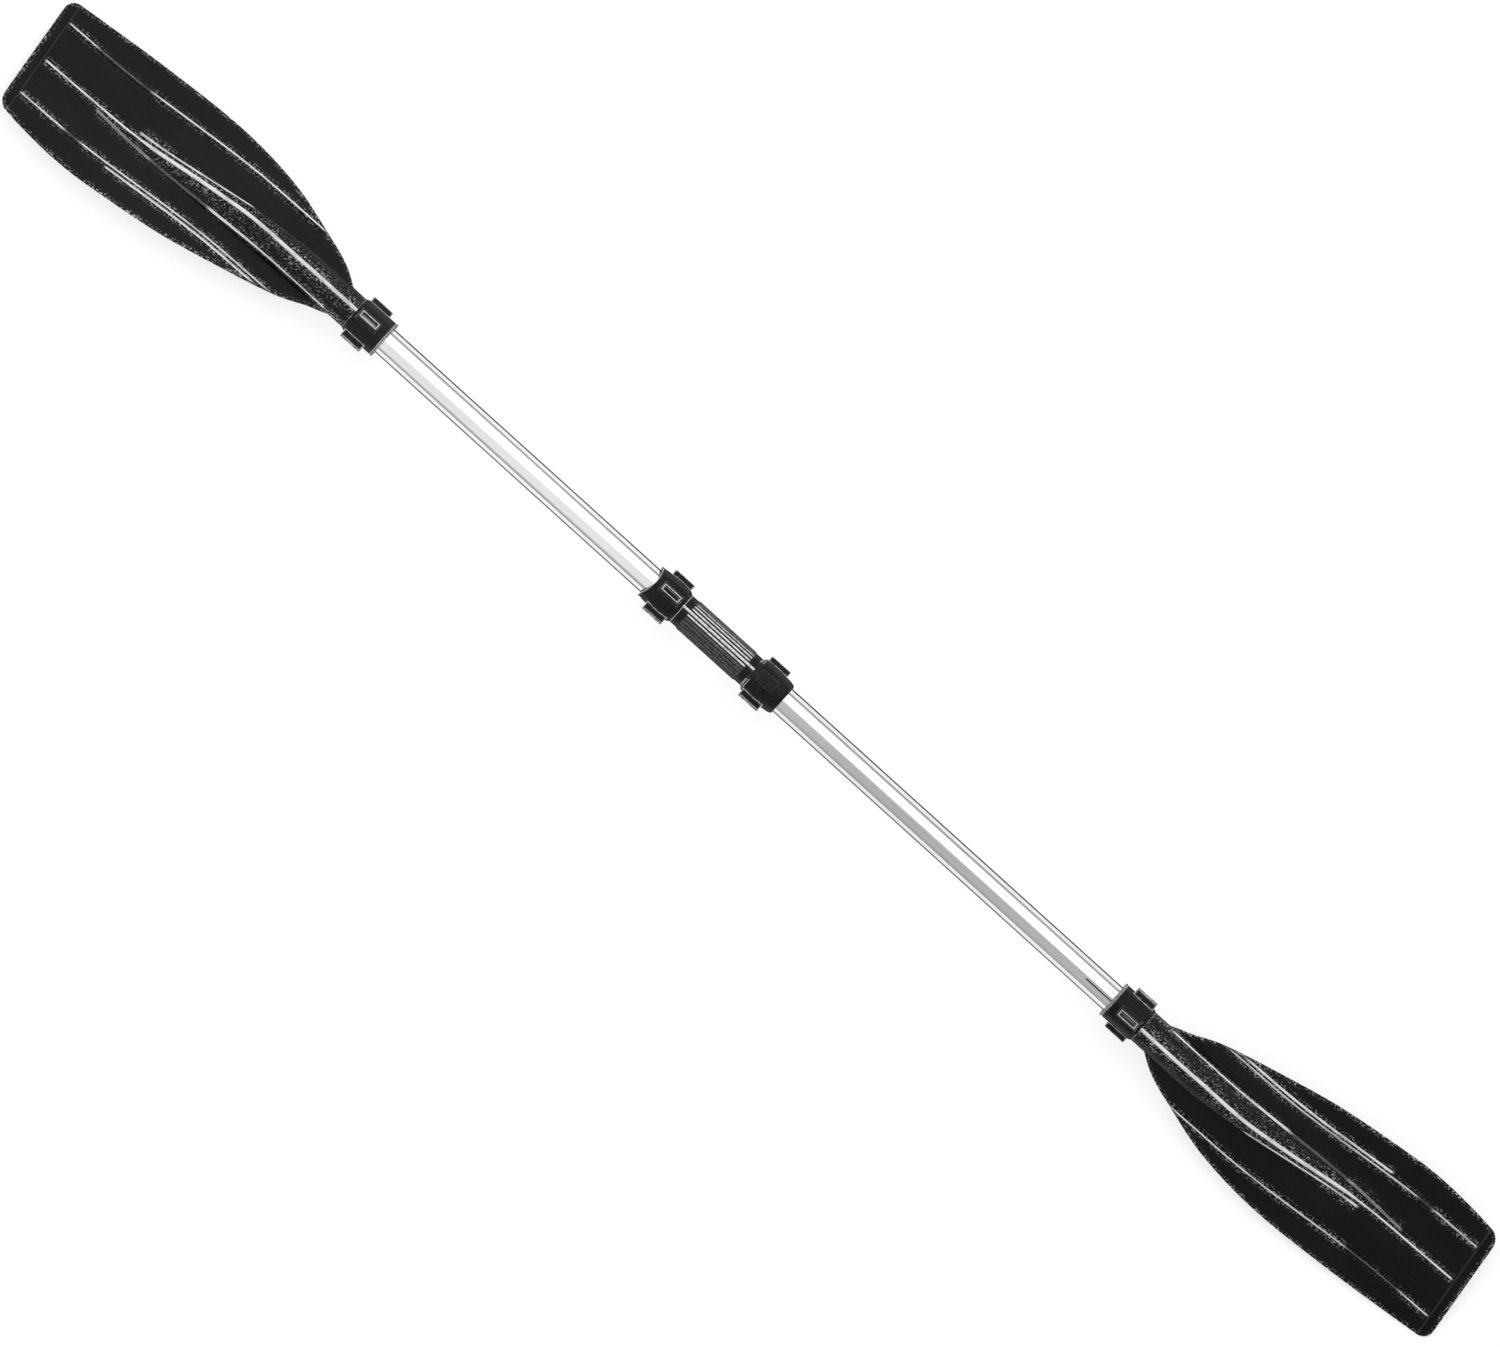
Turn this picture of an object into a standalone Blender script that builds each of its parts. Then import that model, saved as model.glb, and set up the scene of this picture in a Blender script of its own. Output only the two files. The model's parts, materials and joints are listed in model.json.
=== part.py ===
"""Four-piece kayak paddle.

Two moulded blades, two aluminium tubes and a centre connector. Each of the four sockets holds a tube
with a V-shaped spring clip, whose heads stand out of the tube under two release keys.
X runs along the shaft and +Z is the side with the ribs, the convex back of both blades.
"""

import math

import bmesh
import bpy
from mathutils import Matrix, Vector

# Shaft tubes
SHAFT_R = 0.0160
SHAFT_WALL = 0.0012
GAP = 0.0003
BORE_R = SHAFT_R + GAP
TUBE_SIDES = 40

# Places along the shaft, from the middle of the connector
CONNECTOR_HALF = 0.0950
LEFT_RIM_X = -0.4760
RIGHT_RIM_X = 0.5690
WEB_HALF = 0.0080
BLADE_BORE = 0.0680
SHAFT_END_GAP = 0.0020
FEATHER_HALF = math.radians(12.0)

# Sockets: a collar with raised boxes, seen from the rim inwards
COLLAR_R = 0.0216
RIM_R = 0.0222
RIM_LENGTH = 0.0022
EAR_CENTRE = 0.0261
EAR_LENGTH = 0.0267
EAR_TOP_R = 0.0274
EAR_TOP_WIDTH = 0.0095
EAR_BASE_R = 0.0180
EAR_BASE_WIDTH = 0.0160
EAR_BEVEL = 0.0007
EAR_DRAFT = 0.0012
WINDOW_LENGTH = 0.0210
WINDOW_WIDTH = 0.0056
POCKET_LENGTH = 0.0240
POCKET_WIDTH = 0.0090
POCKET_R = 0.0220
RECESS_FLOOR_R = 0.0185

# Release keys
KEY_TOP_R = 0.0280
KEY_FOOT_R = 0.0205
KEY_FOOT_THICK = 0.0012
KEY_CROWN = 0.0006

# Spring clips
HEAD_R = 0.0039
HEAD_HOLE_R = 0.0042
HEAD_TOP_R = 0.0202
CLIP_WIDTH = 0.0080
CLIP_THICK = 0.0008
CLIP_LEG_R = 0.0132
CLIP_BEND_R = 0.0030
CLIP_LENGTH = 0.0300
CLIP_TAIL = 0.0055
HEAD_DOME = 0.0012

# Foam plugs
PLUG_R = SHAFT_R - SHAFT_WALL - GAP
PLUG_LENGTH = 0.0300
PLUG_FROM_HEAD = 0.0160
PLUG_EDGE = 0.0015

# Slit in the right tube
SLIT_WIDTH = 0.0015
SLIT_OUTSIDE = 0.0360
CUT_THROUGH = 0.0040

# Connector
GRIP_R = 0.0184
GRIP_FLUTES = 28
FLUTE_R = 0.0009
FLUTE_HALF = 0.0415
SEAM_RIB_HALF = 0.0520
SEAM_RIB_R = 0.0012
MOUTH_R = 0.0200
BARREL_R = 0.0220
MOUTH_SCALLOP_R = 0.0393
MOUTH_SCALLOP_DEPTH = 0.0053
END_ROUND_R = 0.0176
PAD_LENGTH = 0.0220
PAD_WIDTH = 0.0120
PAD_TOP_R = 0.0242

# Blade, in its own frame: x from the rim to the tip, z towards the ribbed back
NECK_R = 0.0197
NECK_START = 0.0430
NECK_END = 0.0640
BLADE_TIP = 0.4950
TIP_SLANT = math.tan(math.radians(7.1))
TIP_CORNER_R = 0.0130
PLATE_THICK = 0.0032
PLATE_START = 0.0520
PLATE_DROP = 0.0080
SPOON_DEPTH = 0.0300
SPOON_POWER = 1.6
CAMBER = 0.0045
SWEEP = 0.0130
RIB_SPACING = 0.0460
RIB_R = 0.0019
RIB_EDGE_MARGIN = 0.0030
CREST_R = 0.0015
BORDER_INSET = 0.0130
BORDER_R = 0.0012
RIB_PINCH = 0.0015
SPINE_R = NECK_R - 0.0004
SPINE_START = 0.0500
SPINE_TAPER = 0.1300
SPINE_END = 0.4550
SPINE_TIP_HALF = 0.0018
SPINE_SWEEP = 0.0135
CREST_LEAN = 0.0048
SPINE_PROUD = 0.0012
BORDER_MARGIN = 0.0040
LONG_EDGE = [
    (0.0520, 0.0120), (0.0680, 0.0200), (0.0860, 0.0266), (0.1180, 0.0406), (0.1820, 0.0575),
    (0.2620, 0.0750), (0.3590, 0.0864), (0.4070, 0.0877), (0.4550, 0.0850), (0.4950, 0.0805),
]
SHORT_EDGE = [
    (0.0520, 0.0120), (0.0620, 0.0212), (0.0860, 0.0355), (0.1180, 0.0466), (0.1820, 0.0647),
    (0.2620, 0.0723), (0.3590, 0.0685), (0.4550, 0.0606), (0.4950, 0.0570),
]


def smooth(start, end, x):
    """Rise from 0 at start to 1 at end with level ends."""
    t = min(1.0, max(0.0, (x - start) / (end - start)))
    return t * t * (3.0 - 2.0 * t)


def along(points, x):
    """Value at x of a smooth curve through the points."""
    last = len(points) - 1
    i = min(last - 1, max(0, sum(1 for p in points if p[0] <= x) - 1))
    (x0, y0), (x1, y1) = points[i], points[i + 1]
    before, after = points[max(0, i - 1)], points[min(last, i + 2)]
    slope0 = (y1 - before[1]) / (x1 - before[0])
    slope1 = (after[1] - y0) / (after[0] - x0)
    h = x1 - x0
    t = (x - x0) / h
    rise = y0 + (y1 - y0) * (3 * t * t - 2 * t ** 3)
    return rise + h * (slope0 * (t - 2 * t * t + t ** 3) + slope1 * (t ** 3 - t * t))


# ---------------------------------------------------------------- scene and small helpers


def clear_scene():
    for obj in list(bpy.data.objects):
        bpy.data.objects.remove(obj, do_unlink=True)
    for collection in list(bpy.data.collections):
        bpy.data.collections.remove(collection)


def add_collection(name):
    collection = bpy.data.collections.new(name)
    bpy.context.scene.collection.children.link(collection)
    return collection


def make_material(name, colour, roughness, metallic):
    material = bpy.data.materials.new(name)
    material.use_nodes = True
    shader = material.node_tree.nodes["Principled BSDF"]
    shader.inputs["Base Color"].default_value = (*colour, 1.0)
    shader.inputs["Roughness"].default_value = roughness
    shader.inputs["Metallic"].default_value = metallic
    return material


def bench_object(name, bm):
    """Turn a bmesh into an object on the bench, with its faces pointing out."""
    bmesh.ops.recalc_face_normals(bm, faces=bm.faces)
    mesh = bpy.data.meshes.new(name)
    bm.to_mesh(mesh)
    bm.free()
    obj = bpy.data.objects.new(name, mesh)
    bpy.context.scene.collection.objects.link(obj)
    return obj


def bake(obj):
    """Replace an object's modifiers by their result."""
    bpy.context.view_layer.update()
    evaluated = obj.evaluated_get(bpy.context.evaluated_depsgraph_get())
    mesh = bpy.data.meshes.new_from_object(evaluated)
    obj.modifiers.clear()
    obj.data = mesh
    return obj


def combine(target, operation, tools):
    """Join the tools to the target, or cut them out of it, and remove them."""
    for tool in tools:
        boolean = target.modifiers.new(operation.lower(), "BOOLEAN")
        boolean.operation = operation
        boolean.solver = "EXACT"
        boolean.object = tool
    bake(target)
    for tool in tools:
        bpy.data.objects.remove(tool, do_unlink=True)
    return target


def block(name, size, centre):
    bm = bmesh.new()
    bmesh.ops.create_cube(bm, size=1.0, matrix=Matrix.Translation(centre) @ Matrix.Diagonal((*size, 1.0)))
    return bench_object(name, bm)


def rod(name, radius, start, end, sides=24):
    """Cylinder between two points."""
    start, end = Vector(start), Vector(end)
    turn = (end - start).to_track_quat("Z", "Y").to_matrix().to_4x4()
    bm = bmesh.new()
    bmesh.ops.create_cone(
        bm, cap_ends=True, segments=sides, radius1=radius, radius2=radius,
        depth=(end - start).length, matrix=Matrix.Translation((start + end) / 2) @ turn,
    )
    return bench_object(name, bm)


def turned(name, profile, sides):
    """Solid turned about the X axis from a closed profile of (x, radius)."""
    bm = bmesh.new()
    points = [bm.verts.new((x, 0.0, radius)) for x, radius in profile]
    for first, second in zip(points, points[1:] + points[:1]):
        bm.edges.new((first, second))
    mesh = bpy.data.meshes.new(name)
    bm.to_mesh(mesh)
    bm.free()
    obj = bpy.data.objects.new(name, mesh)
    bpy.context.scene.collection.objects.link(obj)
    screw = obj.modifiers.new("turn", "SCREW")
    screw.axis = "X"
    screw.steps = sides
    screw.render_steps = sides
    screw.use_merge_vertices = True
    screw.merge_threshold = 0.00001
    bake(obj)
    bm = bmesh.new()
    bm.from_mesh(obj.data)
    bmesh.ops.recalc_face_normals(bm, faces=bm.faces)
    bm.to_mesh(obj.data)
    bm.free()
    return obj


def loft(name, rings):
    """Closed solid through rings that have the same number of points."""
    bm = bmesh.new()
    rows = [[bm.verts.new(p) for p in ring] for ring in rings]
    count = len(rows[0])
    for row, following in zip(rows, rows[1:]):
        for i in range(count):
            j = (i + 1) % count
            bm.faces.new((row[i], row[j], following[j], following[i]))
    bm.faces.new(rows[0])
    bm.faces.new(rows[-1])
    return bench_object(name, bm)


def wire(name, points, radius):
    """Round bar along a route, with closed ends."""
    curve = bpy.data.curves.new(name, "CURVE")
    curve.dimensions = "3D"
    curve.bevel_depth = radius
    curve.bevel_resolution = 1
    curve.use_fill_caps = True
    spline = curve.splines.new("POLY")
    spline.points.add(len(points) - 1)
    for point, place in zip(spline.points, points):
        point.co = (*place, 1.0)
    guide = bpy.data.objects.new(name, curve)
    bpy.context.scene.collection.objects.link(guide)
    bpy.context.view_layer.update()
    mesh = bpy.data.meshes.new_from_object(guide.evaluated_get(bpy.context.evaluated_depsgraph_get()))
    bpy.data.objects.remove(guide, do_unlink=True)
    bm = bmesh.new()
    bm.from_mesh(mesh)
    bmesh.ops.remove_doubles(bm, verts=bm.verts, dist=0.00001)
    return bench_object(name, bm)


# ---------------------------------------------------------------- sockets, shared by blades and connector


def ear_box(name, angle, top=EAR_TOP_R, length=EAR_LENGTH, width=EAR_TOP_WIDTH, centre=EAR_CENTRE):
    """Raised box on a collar, narrower at the top; angle 0 is on +Y and 90 degrees on +Z."""
    bm = bmesh.new()
    bmesh.ops.create_cube(bm, size=1.0)
    for vert in bm.verts:
        upper = vert.co.z > 0
        vert.co.x *= length - (EAR_DRAFT if upper else 0.0)
        vert.co.y *= width if upper else EAR_BASE_WIDTH
        vert.co.z = top if upper else EAR_BASE_R
    edges = [e for e in bm.edges if max(v.co.z for v in e.verts) > EAR_BASE_R + GAP]
    bmesh.ops.bevel(bm, geom=edges, offset=EAR_BEVEL, segments=1, affect="EDGES", profile=0.5)
    turn = Matrix.Rotation(angle - math.pi / 2, 4, "X")
    bmesh.ops.transform(bm, matrix=Matrix.Translation((centre, 0, 0)) @ turn, verts=bm.verts)
    return bench_object(name, bm)


def ear_cutters(angle, centre=EAR_CENTRE, pocket=True, opening_r=BORE_R - CUT_THROUGH):
    """Opening in a box down to opening_r, and the wider pocket under it that a key is put in from inside."""
    turn = Matrix.Rotation(angle - math.pi / 2, 4, "X")
    tools = [block("opening", (WINDOW_LENGTH, WINDOW_WIDTH, 0.020), (0, 0, opening_r + 0.010))]
    if pocket:
        height = POCKET_R - opening_r
        tools.append(
            block("pocket", (POCKET_LENGTH, POCKET_WIDTH, height), (0, 0, opening_r + height / 2))
        )
    for tool in tools:
        tool.data.transform(Matrix.Translation((centre, 0, 0)) @ turn)
    return tools


def make_key():
    """Release key along +Z, its stem in the ear's opening and its foot captive in the pocket."""
    stem_length = WINDOW_LENGTH - 2 * GAP
    stem_width = WINDOW_WIDTH - 2 * GAP
    foot_length = POCKET_LENGTH - 2 * GAP
    foot_width = POCKET_WIDTH - 2 * GAP
    foot_top = KEY_FOOT_R + KEY_FOOT_THICK
    key = block("key", (foot_length, foot_width, KEY_FOOT_THICK), (0, 0, KEY_FOOT_R + KEY_FOOT_THICK / 2))
    outline = [
        (-stem_length / 2, foot_top - KEY_FOOT_THICK / 2),
        (stem_length / 2, foot_top - KEY_FOOT_THICK / 2),
        (stem_length / 2, KEY_TOP_R - KEY_CROWN),
        (stem_length / 3, KEY_TOP_R),
        (-stem_length / 3, KEY_TOP_R),
        (-stem_length / 2, KEY_TOP_R - KEY_CROWN),
    ]
    stem = loft("stem", [[(x, y, z) for x, z in outline] for y in (-stem_width / 2, stem_width / 2)])
    return combine(key, "UNION", [stem])


def make_clip():
    """V-shaped spring clip: x grows towards its bend, the heads stand along +Y and -Y."""
    leg = [(-CLIP_TAIL, CLIP_LEG_R), (CLIP_TAIL, CLIP_LEG_R), (CLIP_LENGTH, CLIP_BEND_R)]
    steps = 6
    bend = [
        (CLIP_LENGTH + CLIP_BEND_R * math.sin(math.pi * i / steps), CLIP_BEND_R * math.cos(math.pi * i / steps))
        for i in range(1, steps)
    ]
    route = leg + bend + [(x, -y) for x, y in reversed(leg)]
    bm = bmesh.new()
    rows = [[bm.verts.new((x, y, z)) for z in (-CLIP_WIDTH / 2, CLIP_WIDTH / 2)] for x, y in route]
    for (a, b), (c, d) in zip(rows, rows[1:]):
        bm.faces.new((a, b, d, c))
    clip = bench_object("clip", bm)
    leaf = clip.modifiers.new("leaf", "SOLIDIFY")
    leaf.thickness = CLIP_THICK
    leaf.offset = 0.0
    leaf.use_even_offset = True
    bake(clip)
    heads = []
    for side in (-1, 1):
        rings = []
        for height, radius in (
            (CLIP_LEG_R, HEAD_R), (HEAD_TOP_R - HEAD_DOME, HEAD_R), (HEAD_TOP_R - HEAD_DOME / 3, 0.8 * HEAD_R),
            (HEAD_TOP_R, 0.45 * HEAD_R),
        ):
            rings.append([
                (radius * math.cos(math.tau * i / 16), side * height, radius * math.sin(math.tau * i / 16))
                for i in range(16)
            ])
        heads.append(loft("head", rings))
    return combine(clip, "UNION", heads)


# ---------------------------------------------------------------- tubes and plugs


def make_shaft(inner_turn, outer_turn, length, slit):
    """Tube from x = 0 at its connector end, with a pair of clip holes at each end."""
    profile = [(0, SHAFT_R), (length, SHAFT_R), (length, SHAFT_R - SHAFT_WALL), (0, SHAFT_R - SHAFT_WALL)]
    tube = turned("tube", profile, TUBE_SIDES)
    inner_head = CONNECTOR_HALF - EAR_CENTRE - WEB_HALF - SHAFT_END_GAP
    outer_head = length - (BLADE_BORE - SHAFT_END_GAP - EAR_CENTRE)
    reach = SHAFT_R + CUT_THROUGH
    cutters = []
    for place, turn in ((inner_head, inner_turn), (outer_head, outer_turn)):
        across = Vector((0, math.cos(turn) * reach, math.sin(turn) * reach))
        middle = Vector((place, 0, 0))
        cutters.append(rod("holes", HEAD_HOLE_R, middle - across, middle + across))
    if slit:
        slit_length = SLIT_OUTSIDE + BLADE_BORE
        cutter = block("slit", (slit_length, SLIT_WIDTH, 0.006), (length - slit_length / 2 + 0.002, 0, SHAFT_R))
        cutter.data.transform(Matrix.Rotation(outer_turn, 4, "X"))
        cutters.append(cutter)
    return combine(tube, "DIFFERENCE", cutters)


def make_plug():
    return turned("plug", [
        (0, 0.0), (0, PLUG_R - PLUG_EDGE), (PLUG_EDGE, PLUG_R), (PLUG_LENGTH - PLUG_EDGE, PLUG_R),
        (PLUG_LENGTH, PLUG_R - PLUG_EDGE), (PLUG_LENGTH, 0.0),
    ], 24)


# ---------------------------------------------------------------- blade


def plate_z(s):
    """Height of the middle of the plate: below the shaft's axis, and curving away to the tip."""
    t = max(0.0, (s - 0.060) / (BLADE_TIP - 0.060))
    return -PLATE_DROP - SPOON_DEPTH * t ** SPOON_POWER


def centre_y(s):
    return SWEEP * smooth(0.190, 0.420, s)


def surface(s, y):
    """Point of the plate's middle surface, with its edges bent away and its end slanted."""
    width = 0.5 * (along(LONG_EDGE, s) + along(SHORT_EDGE, s))
    bow = CAMBER * ((y - centre_y(s)) / width) ** 2 * smooth(0.080, 0.200, s)
    lean = TIP_SLANT * smooth(0.300, BLADE_TIP, s) * (-y - 0.057)
    return Vector((s + lean, y, plate_z(s) - bow))


def plate_stations(count, corner_steps):
    """Distances along the blade, closer together round the corners of the tip."""
    straight = BLADE_TIP - TIP_CORNER_R
    stations = [(PLATE_START + (straight - PLATE_START) * i / count, 0.0) for i in range(count)]
    for i in range(corner_steps + 1):
        angle = math.pi / 2 * i / corner_steps
        stations.append(
            (straight + TIP_CORNER_R * math.sin(angle), TIP_CORNER_R * (1 - math.cos(angle)))
        )
    return stations


def make_plate():
    stations = plate_stations(22, 4)
    across = 12
    bm = bmesh.new()
    bmesh.ops.create_grid(bm, x_segments=len(stations) - 1, y_segments=across, size=0.5)
    for vert in bm.verts:
        s, inset = stations[round((vert.co.x + 0.5) * (len(stations) - 1))]
        low = -along(SHORT_EDGE, s) + inset
        high = along(LONG_EDGE, s) - inset
        vert.co = surface(s, low + (high - low) * (vert.co.y + 0.5))
    plate = bench_object("plate", bm)
    shell = plate.modifiers.new("thickness", "SOLIDIFY")
    shell.thickness = PLATE_THICK
    shell.offset = 0.0
    return bake(plate)


def spine_top(s):
    level = plate_z(s) + PLATE_THICK / 2 + SPINE_PROUD
    return SPINE_R + (level - SPINE_R) * smooth(0.095, 0.345, s)


def spine_centre(s):
    return SPINE_SWEEP * smooth(0.110, 0.360, s)


def crest_y(s):
    lean = CREST_LEAN * smooth(0.120, 0.210, s) * (1 - smooth(0.250, 0.390, s))
    return spine_centre(s) - lean


def make_spine():
    """Tapered root that carries the neck into the plate."""
    rings = []
    steps, count = 22, 20
    for i in range(steps + 1):
        s = SPINE_START + (SPINE_END - SPINE_START) * i / steps
        taper = max(0.0, (s - SPINE_TAPER) / (SPINE_END - SPINE_TAPER))
        half = SPINE_R - (SPINE_R - SPINE_TIP_HALF) * taper
        top = spine_top(s)
        bottom = -SPINE_R + (plate_z(s) + SPINE_R) * smooth(NECK_END, 0.180, s)
        middle, height = (top + bottom) / 2, (top - bottom) / 2
        lean = crest_y(s) - spine_centre(s)
        rings.append([
            (
                s,
                spine_centre(s) + half * math.cos(math.tau * k / count) + lean * math.sin(math.tau * k / count),
                middle + height * math.sin(math.tau * k / count),
            )
            for k in range(count)
        ])
    return loft("spine", rings)


def rib_y(side, s):
    pinch = RIB_PINCH * (1 - smooth(0.120, 0.350, s)) if side > 0 else 0.0
    return centre_y(s) + side * (RIB_SPACING - pinch)


def rib_route(side, steps=12):
    """Route of an outer rib, from where it leaves the blade's edge to the tip border."""
    edge = LONG_EDGE if side > 0 else SHORT_EDGE
    start = 0.100
    while along(edge, start) < abs(rib_y(side, start)) + RIB_EDGE_MARGIN:
        start += 0.001
    end = BLADE_TIP - BORDER_INSET
    stations = [start + (end - start) * i / steps for i in range(steps + 1)]
    return [surface(s, rib_y(side, s)) + Vector((0, 0, PLATE_THICK / 2)) for s in stations]


def crest_route(steps=18):
    """Route of the crest: on the spine, and then along the middle of the plate."""
    start, end = NECK_START - 0.0010, BLADE_TIP - BORDER_INSET
    route = []
    for i in range(steps + 1):
        s = start + (end - start) * i / steps
        place = surface(s, crest_y(s))
        place.z = max(spine_top(s), place.z + PLATE_THICK / 2)
        route.append(place)
    return route


def border_route(steps=6):
    s = BLADE_TIP - BORDER_INSET
    low = -along(SHORT_EDGE, s) + BORDER_MARGIN
    high = along(LONG_EDGE, s) - BORDER_MARGIN
    return [surface(s, low + (high - low) * i / steps) + Vector((0, 0, PLATE_THICK / 2)) for i in range(steps + 1)]


def make_blade():
    """Blade with its collar; the bore and the four openings are cut last."""
    body = turned("collar", [
        (0, 0.008), (0, RIM_R), (RIM_LENGTH, RIM_R), (RIM_LENGTH + 0.0006, COLLAR_R),
        (EAR_CENTRE + EAR_LENGTH / 2, COLLAR_R), (NECK_START, NECK_R), (NECK_END, NECK_R), (NECK_END, 0.008),
    ], TUBE_SIDES)
    pieces = [ear_box("ear", math.radians(angle)) for angle in (0, 90, 180, 270)]
    pieces += [make_plate(), make_spine()]
    pieces += [wire("rib", rib_route(side), RIB_R) for side in (-1, 1)]
    pieces += [wire("crest", crest_route(), CREST_R), wire("border", border_route(), BORDER_R)]
    combine(body, "UNION", pieces)
    cutters = []
    for angle in (0, 180):
        cutters += ear_cutters(math.radians(angle))
    for angle in (90, 270):
        cutters += ear_cutters(math.radians(angle), pocket=False)
    cutters.append(rod("bore", BORE_R, (-0.002, 0, 0), (BLADE_BORE, 0, 0), TUBE_SIDES))
    return combine(body, "DIFFERENCE", cutters)


# ---------------------------------------------------------------- connector


def make_connector():
    """Grip with a socket at each end; x from its left mouth to its right end, centred."""
    left, right = -CONNECTOR_HALF, CONNECTOR_HALF
    ear = EAR_CENTRE + EAR_LENGTH / 2
    body = turned("connector", [
        (left, 0.0), (left, MOUTH_R + 0.0006), (left + 0.003, MOUTH_R), (left + 0.014, BARREL_R - 0.0008),
        (left + EAR_CENTRE, BARREL_R), (left + ear, BARREL_R - 0.0010), (left + ear + 0.004, GRIP_R),
        (right - ear - 0.004, GRIP_R), (right - ear - 0.002, BARREL_R - 0.0006), (right - EAR_CENTRE, BARREL_R),
        (right - 0.010, BARREL_R - 0.0010), (right - 0.0035, MOUTH_R), (right, END_ROUND_R), (right, 0.0),
    ], TUBE_SIDES)
    pieces = []
    for angle in (0, 180):
        pieces.append(ear_box("ear", math.radians(angle), centre=left + EAR_CENTRE))
        pieces.append(ear_box("ear", math.radians(angle), centre=right - EAR_CENTRE))
    for angle in (90, 270):
        pieces.append(ear_box("frame", math.radians(angle), top=EAR_TOP_R - 0.002, centre=left + EAR_CENTRE))
        pieces.append(
            ear_box("pad", math.radians(angle), PAD_TOP_R, PAD_LENGTH, PAD_WIDTH, right - EAR_CENTRE)
        )
    for i in range(GRIP_FLUTES):
        # the flutes in line with the window and the pad are the longer ribs along the moulding's seams
        angle = math.pi / 2 + math.tau * i / GRIP_FLUTES
        on_seam = i % (GRIP_FLUTES // 2) == 0
        half = SEAM_RIB_HALF if on_seam else FLUTE_HALF
        radius = SEAM_RIB_R if on_seam else FLUTE_R
        line = Vector((0, math.cos(angle), math.sin(angle))) * GRIP_R
        pieces.append(rod("flute", radius, line - Vector((half, 0, 0)), line + Vector((half, 0, 0)), sides=6))
    combine(body, "UNION", pieces)
    cutters = []
    scallop_x = left + MOUTH_SCALLOP_DEPTH - MOUTH_SCALLOP_R
    cutters.append(rod("scallop", MOUTH_SCALLOP_R, (scallop_x, 0, -0.04), (scallop_x, 0, 0.04), 64))
    for angle in (0, 180):
        cutters += ear_cutters(math.radians(angle), left + EAR_CENTRE)
        cutters += ear_cutters(math.radians(angle), right - EAR_CENTRE)
    for angle in (90, 270):
        cutters += ear_cutters(math.radians(angle), left + EAR_CENTRE, False, RECESS_FLOOR_R)
    cutters.append(rod("bore", BORE_R, (left - 0.002, 0, 0), (-WEB_HALF, 0, 0), TUBE_SIDES))
    cutters.append(rod("bore", BORE_R, (WEB_HALF, 0, 0), (right + 0.002, 0, 0), TUBE_SIDES))
    return combine(body, "DIFFERENCE", cutters)


# ---------------------------------------------------------------- assembly


def socket_frame(rim_x, inwards, turn):
    """Frame of a socket: origin on the axis at the rim, x into the socket, z to the ribbed side."""
    frame = Matrix.Translation((rim_x, 0, 0)) @ Matrix.Rotation(turn, 4, "X")
    return frame if inwards > 0 else frame @ Matrix.Rotation(math.pi, 4, "Z")


class Assembly:
    """Places finished meshes as named parts under one empty."""

    def __init__(self, name):
        self.parts = add_collection(name)
        self.root = bpy.data.objects.new(name + "_origin", None)
        self.parts.objects.link(self.root)

    def place(self, name, source, frame, material):
        obj = bpy.data.objects.new(name, source.data.copy())
        obj.data.name = name
        obj.data.materials.clear()
        obj.data.materials.append(material)
        self.parts.objects.link(obj)
        obj.parent = self.root
        obj.matrix_local = frame
        obj.data.shade_smooth()
        obj.data.set_sharp_from_angle(angle=math.radians(35))
        return obj

    def rest_on_ground(self):
        """Move the assembly so that the middle of its underside is the world's origin."""
        bpy.context.view_layer.update()
        corners = [
            o.matrix_world @ v.co for o in self.parts.objects if o.type == "MESH" for v in o.data.vertices
        ]
        low = Vector([min(c[i] for c in corners) for i in range(3)])
        high = Vector([max(c[i] for c in corners) for i in range(3)])
        self.root.location = (-(low.x + high.x) / 2, -(low.y + high.y) / 2, -low.z)
        bpy.context.view_layer.update()


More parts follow.
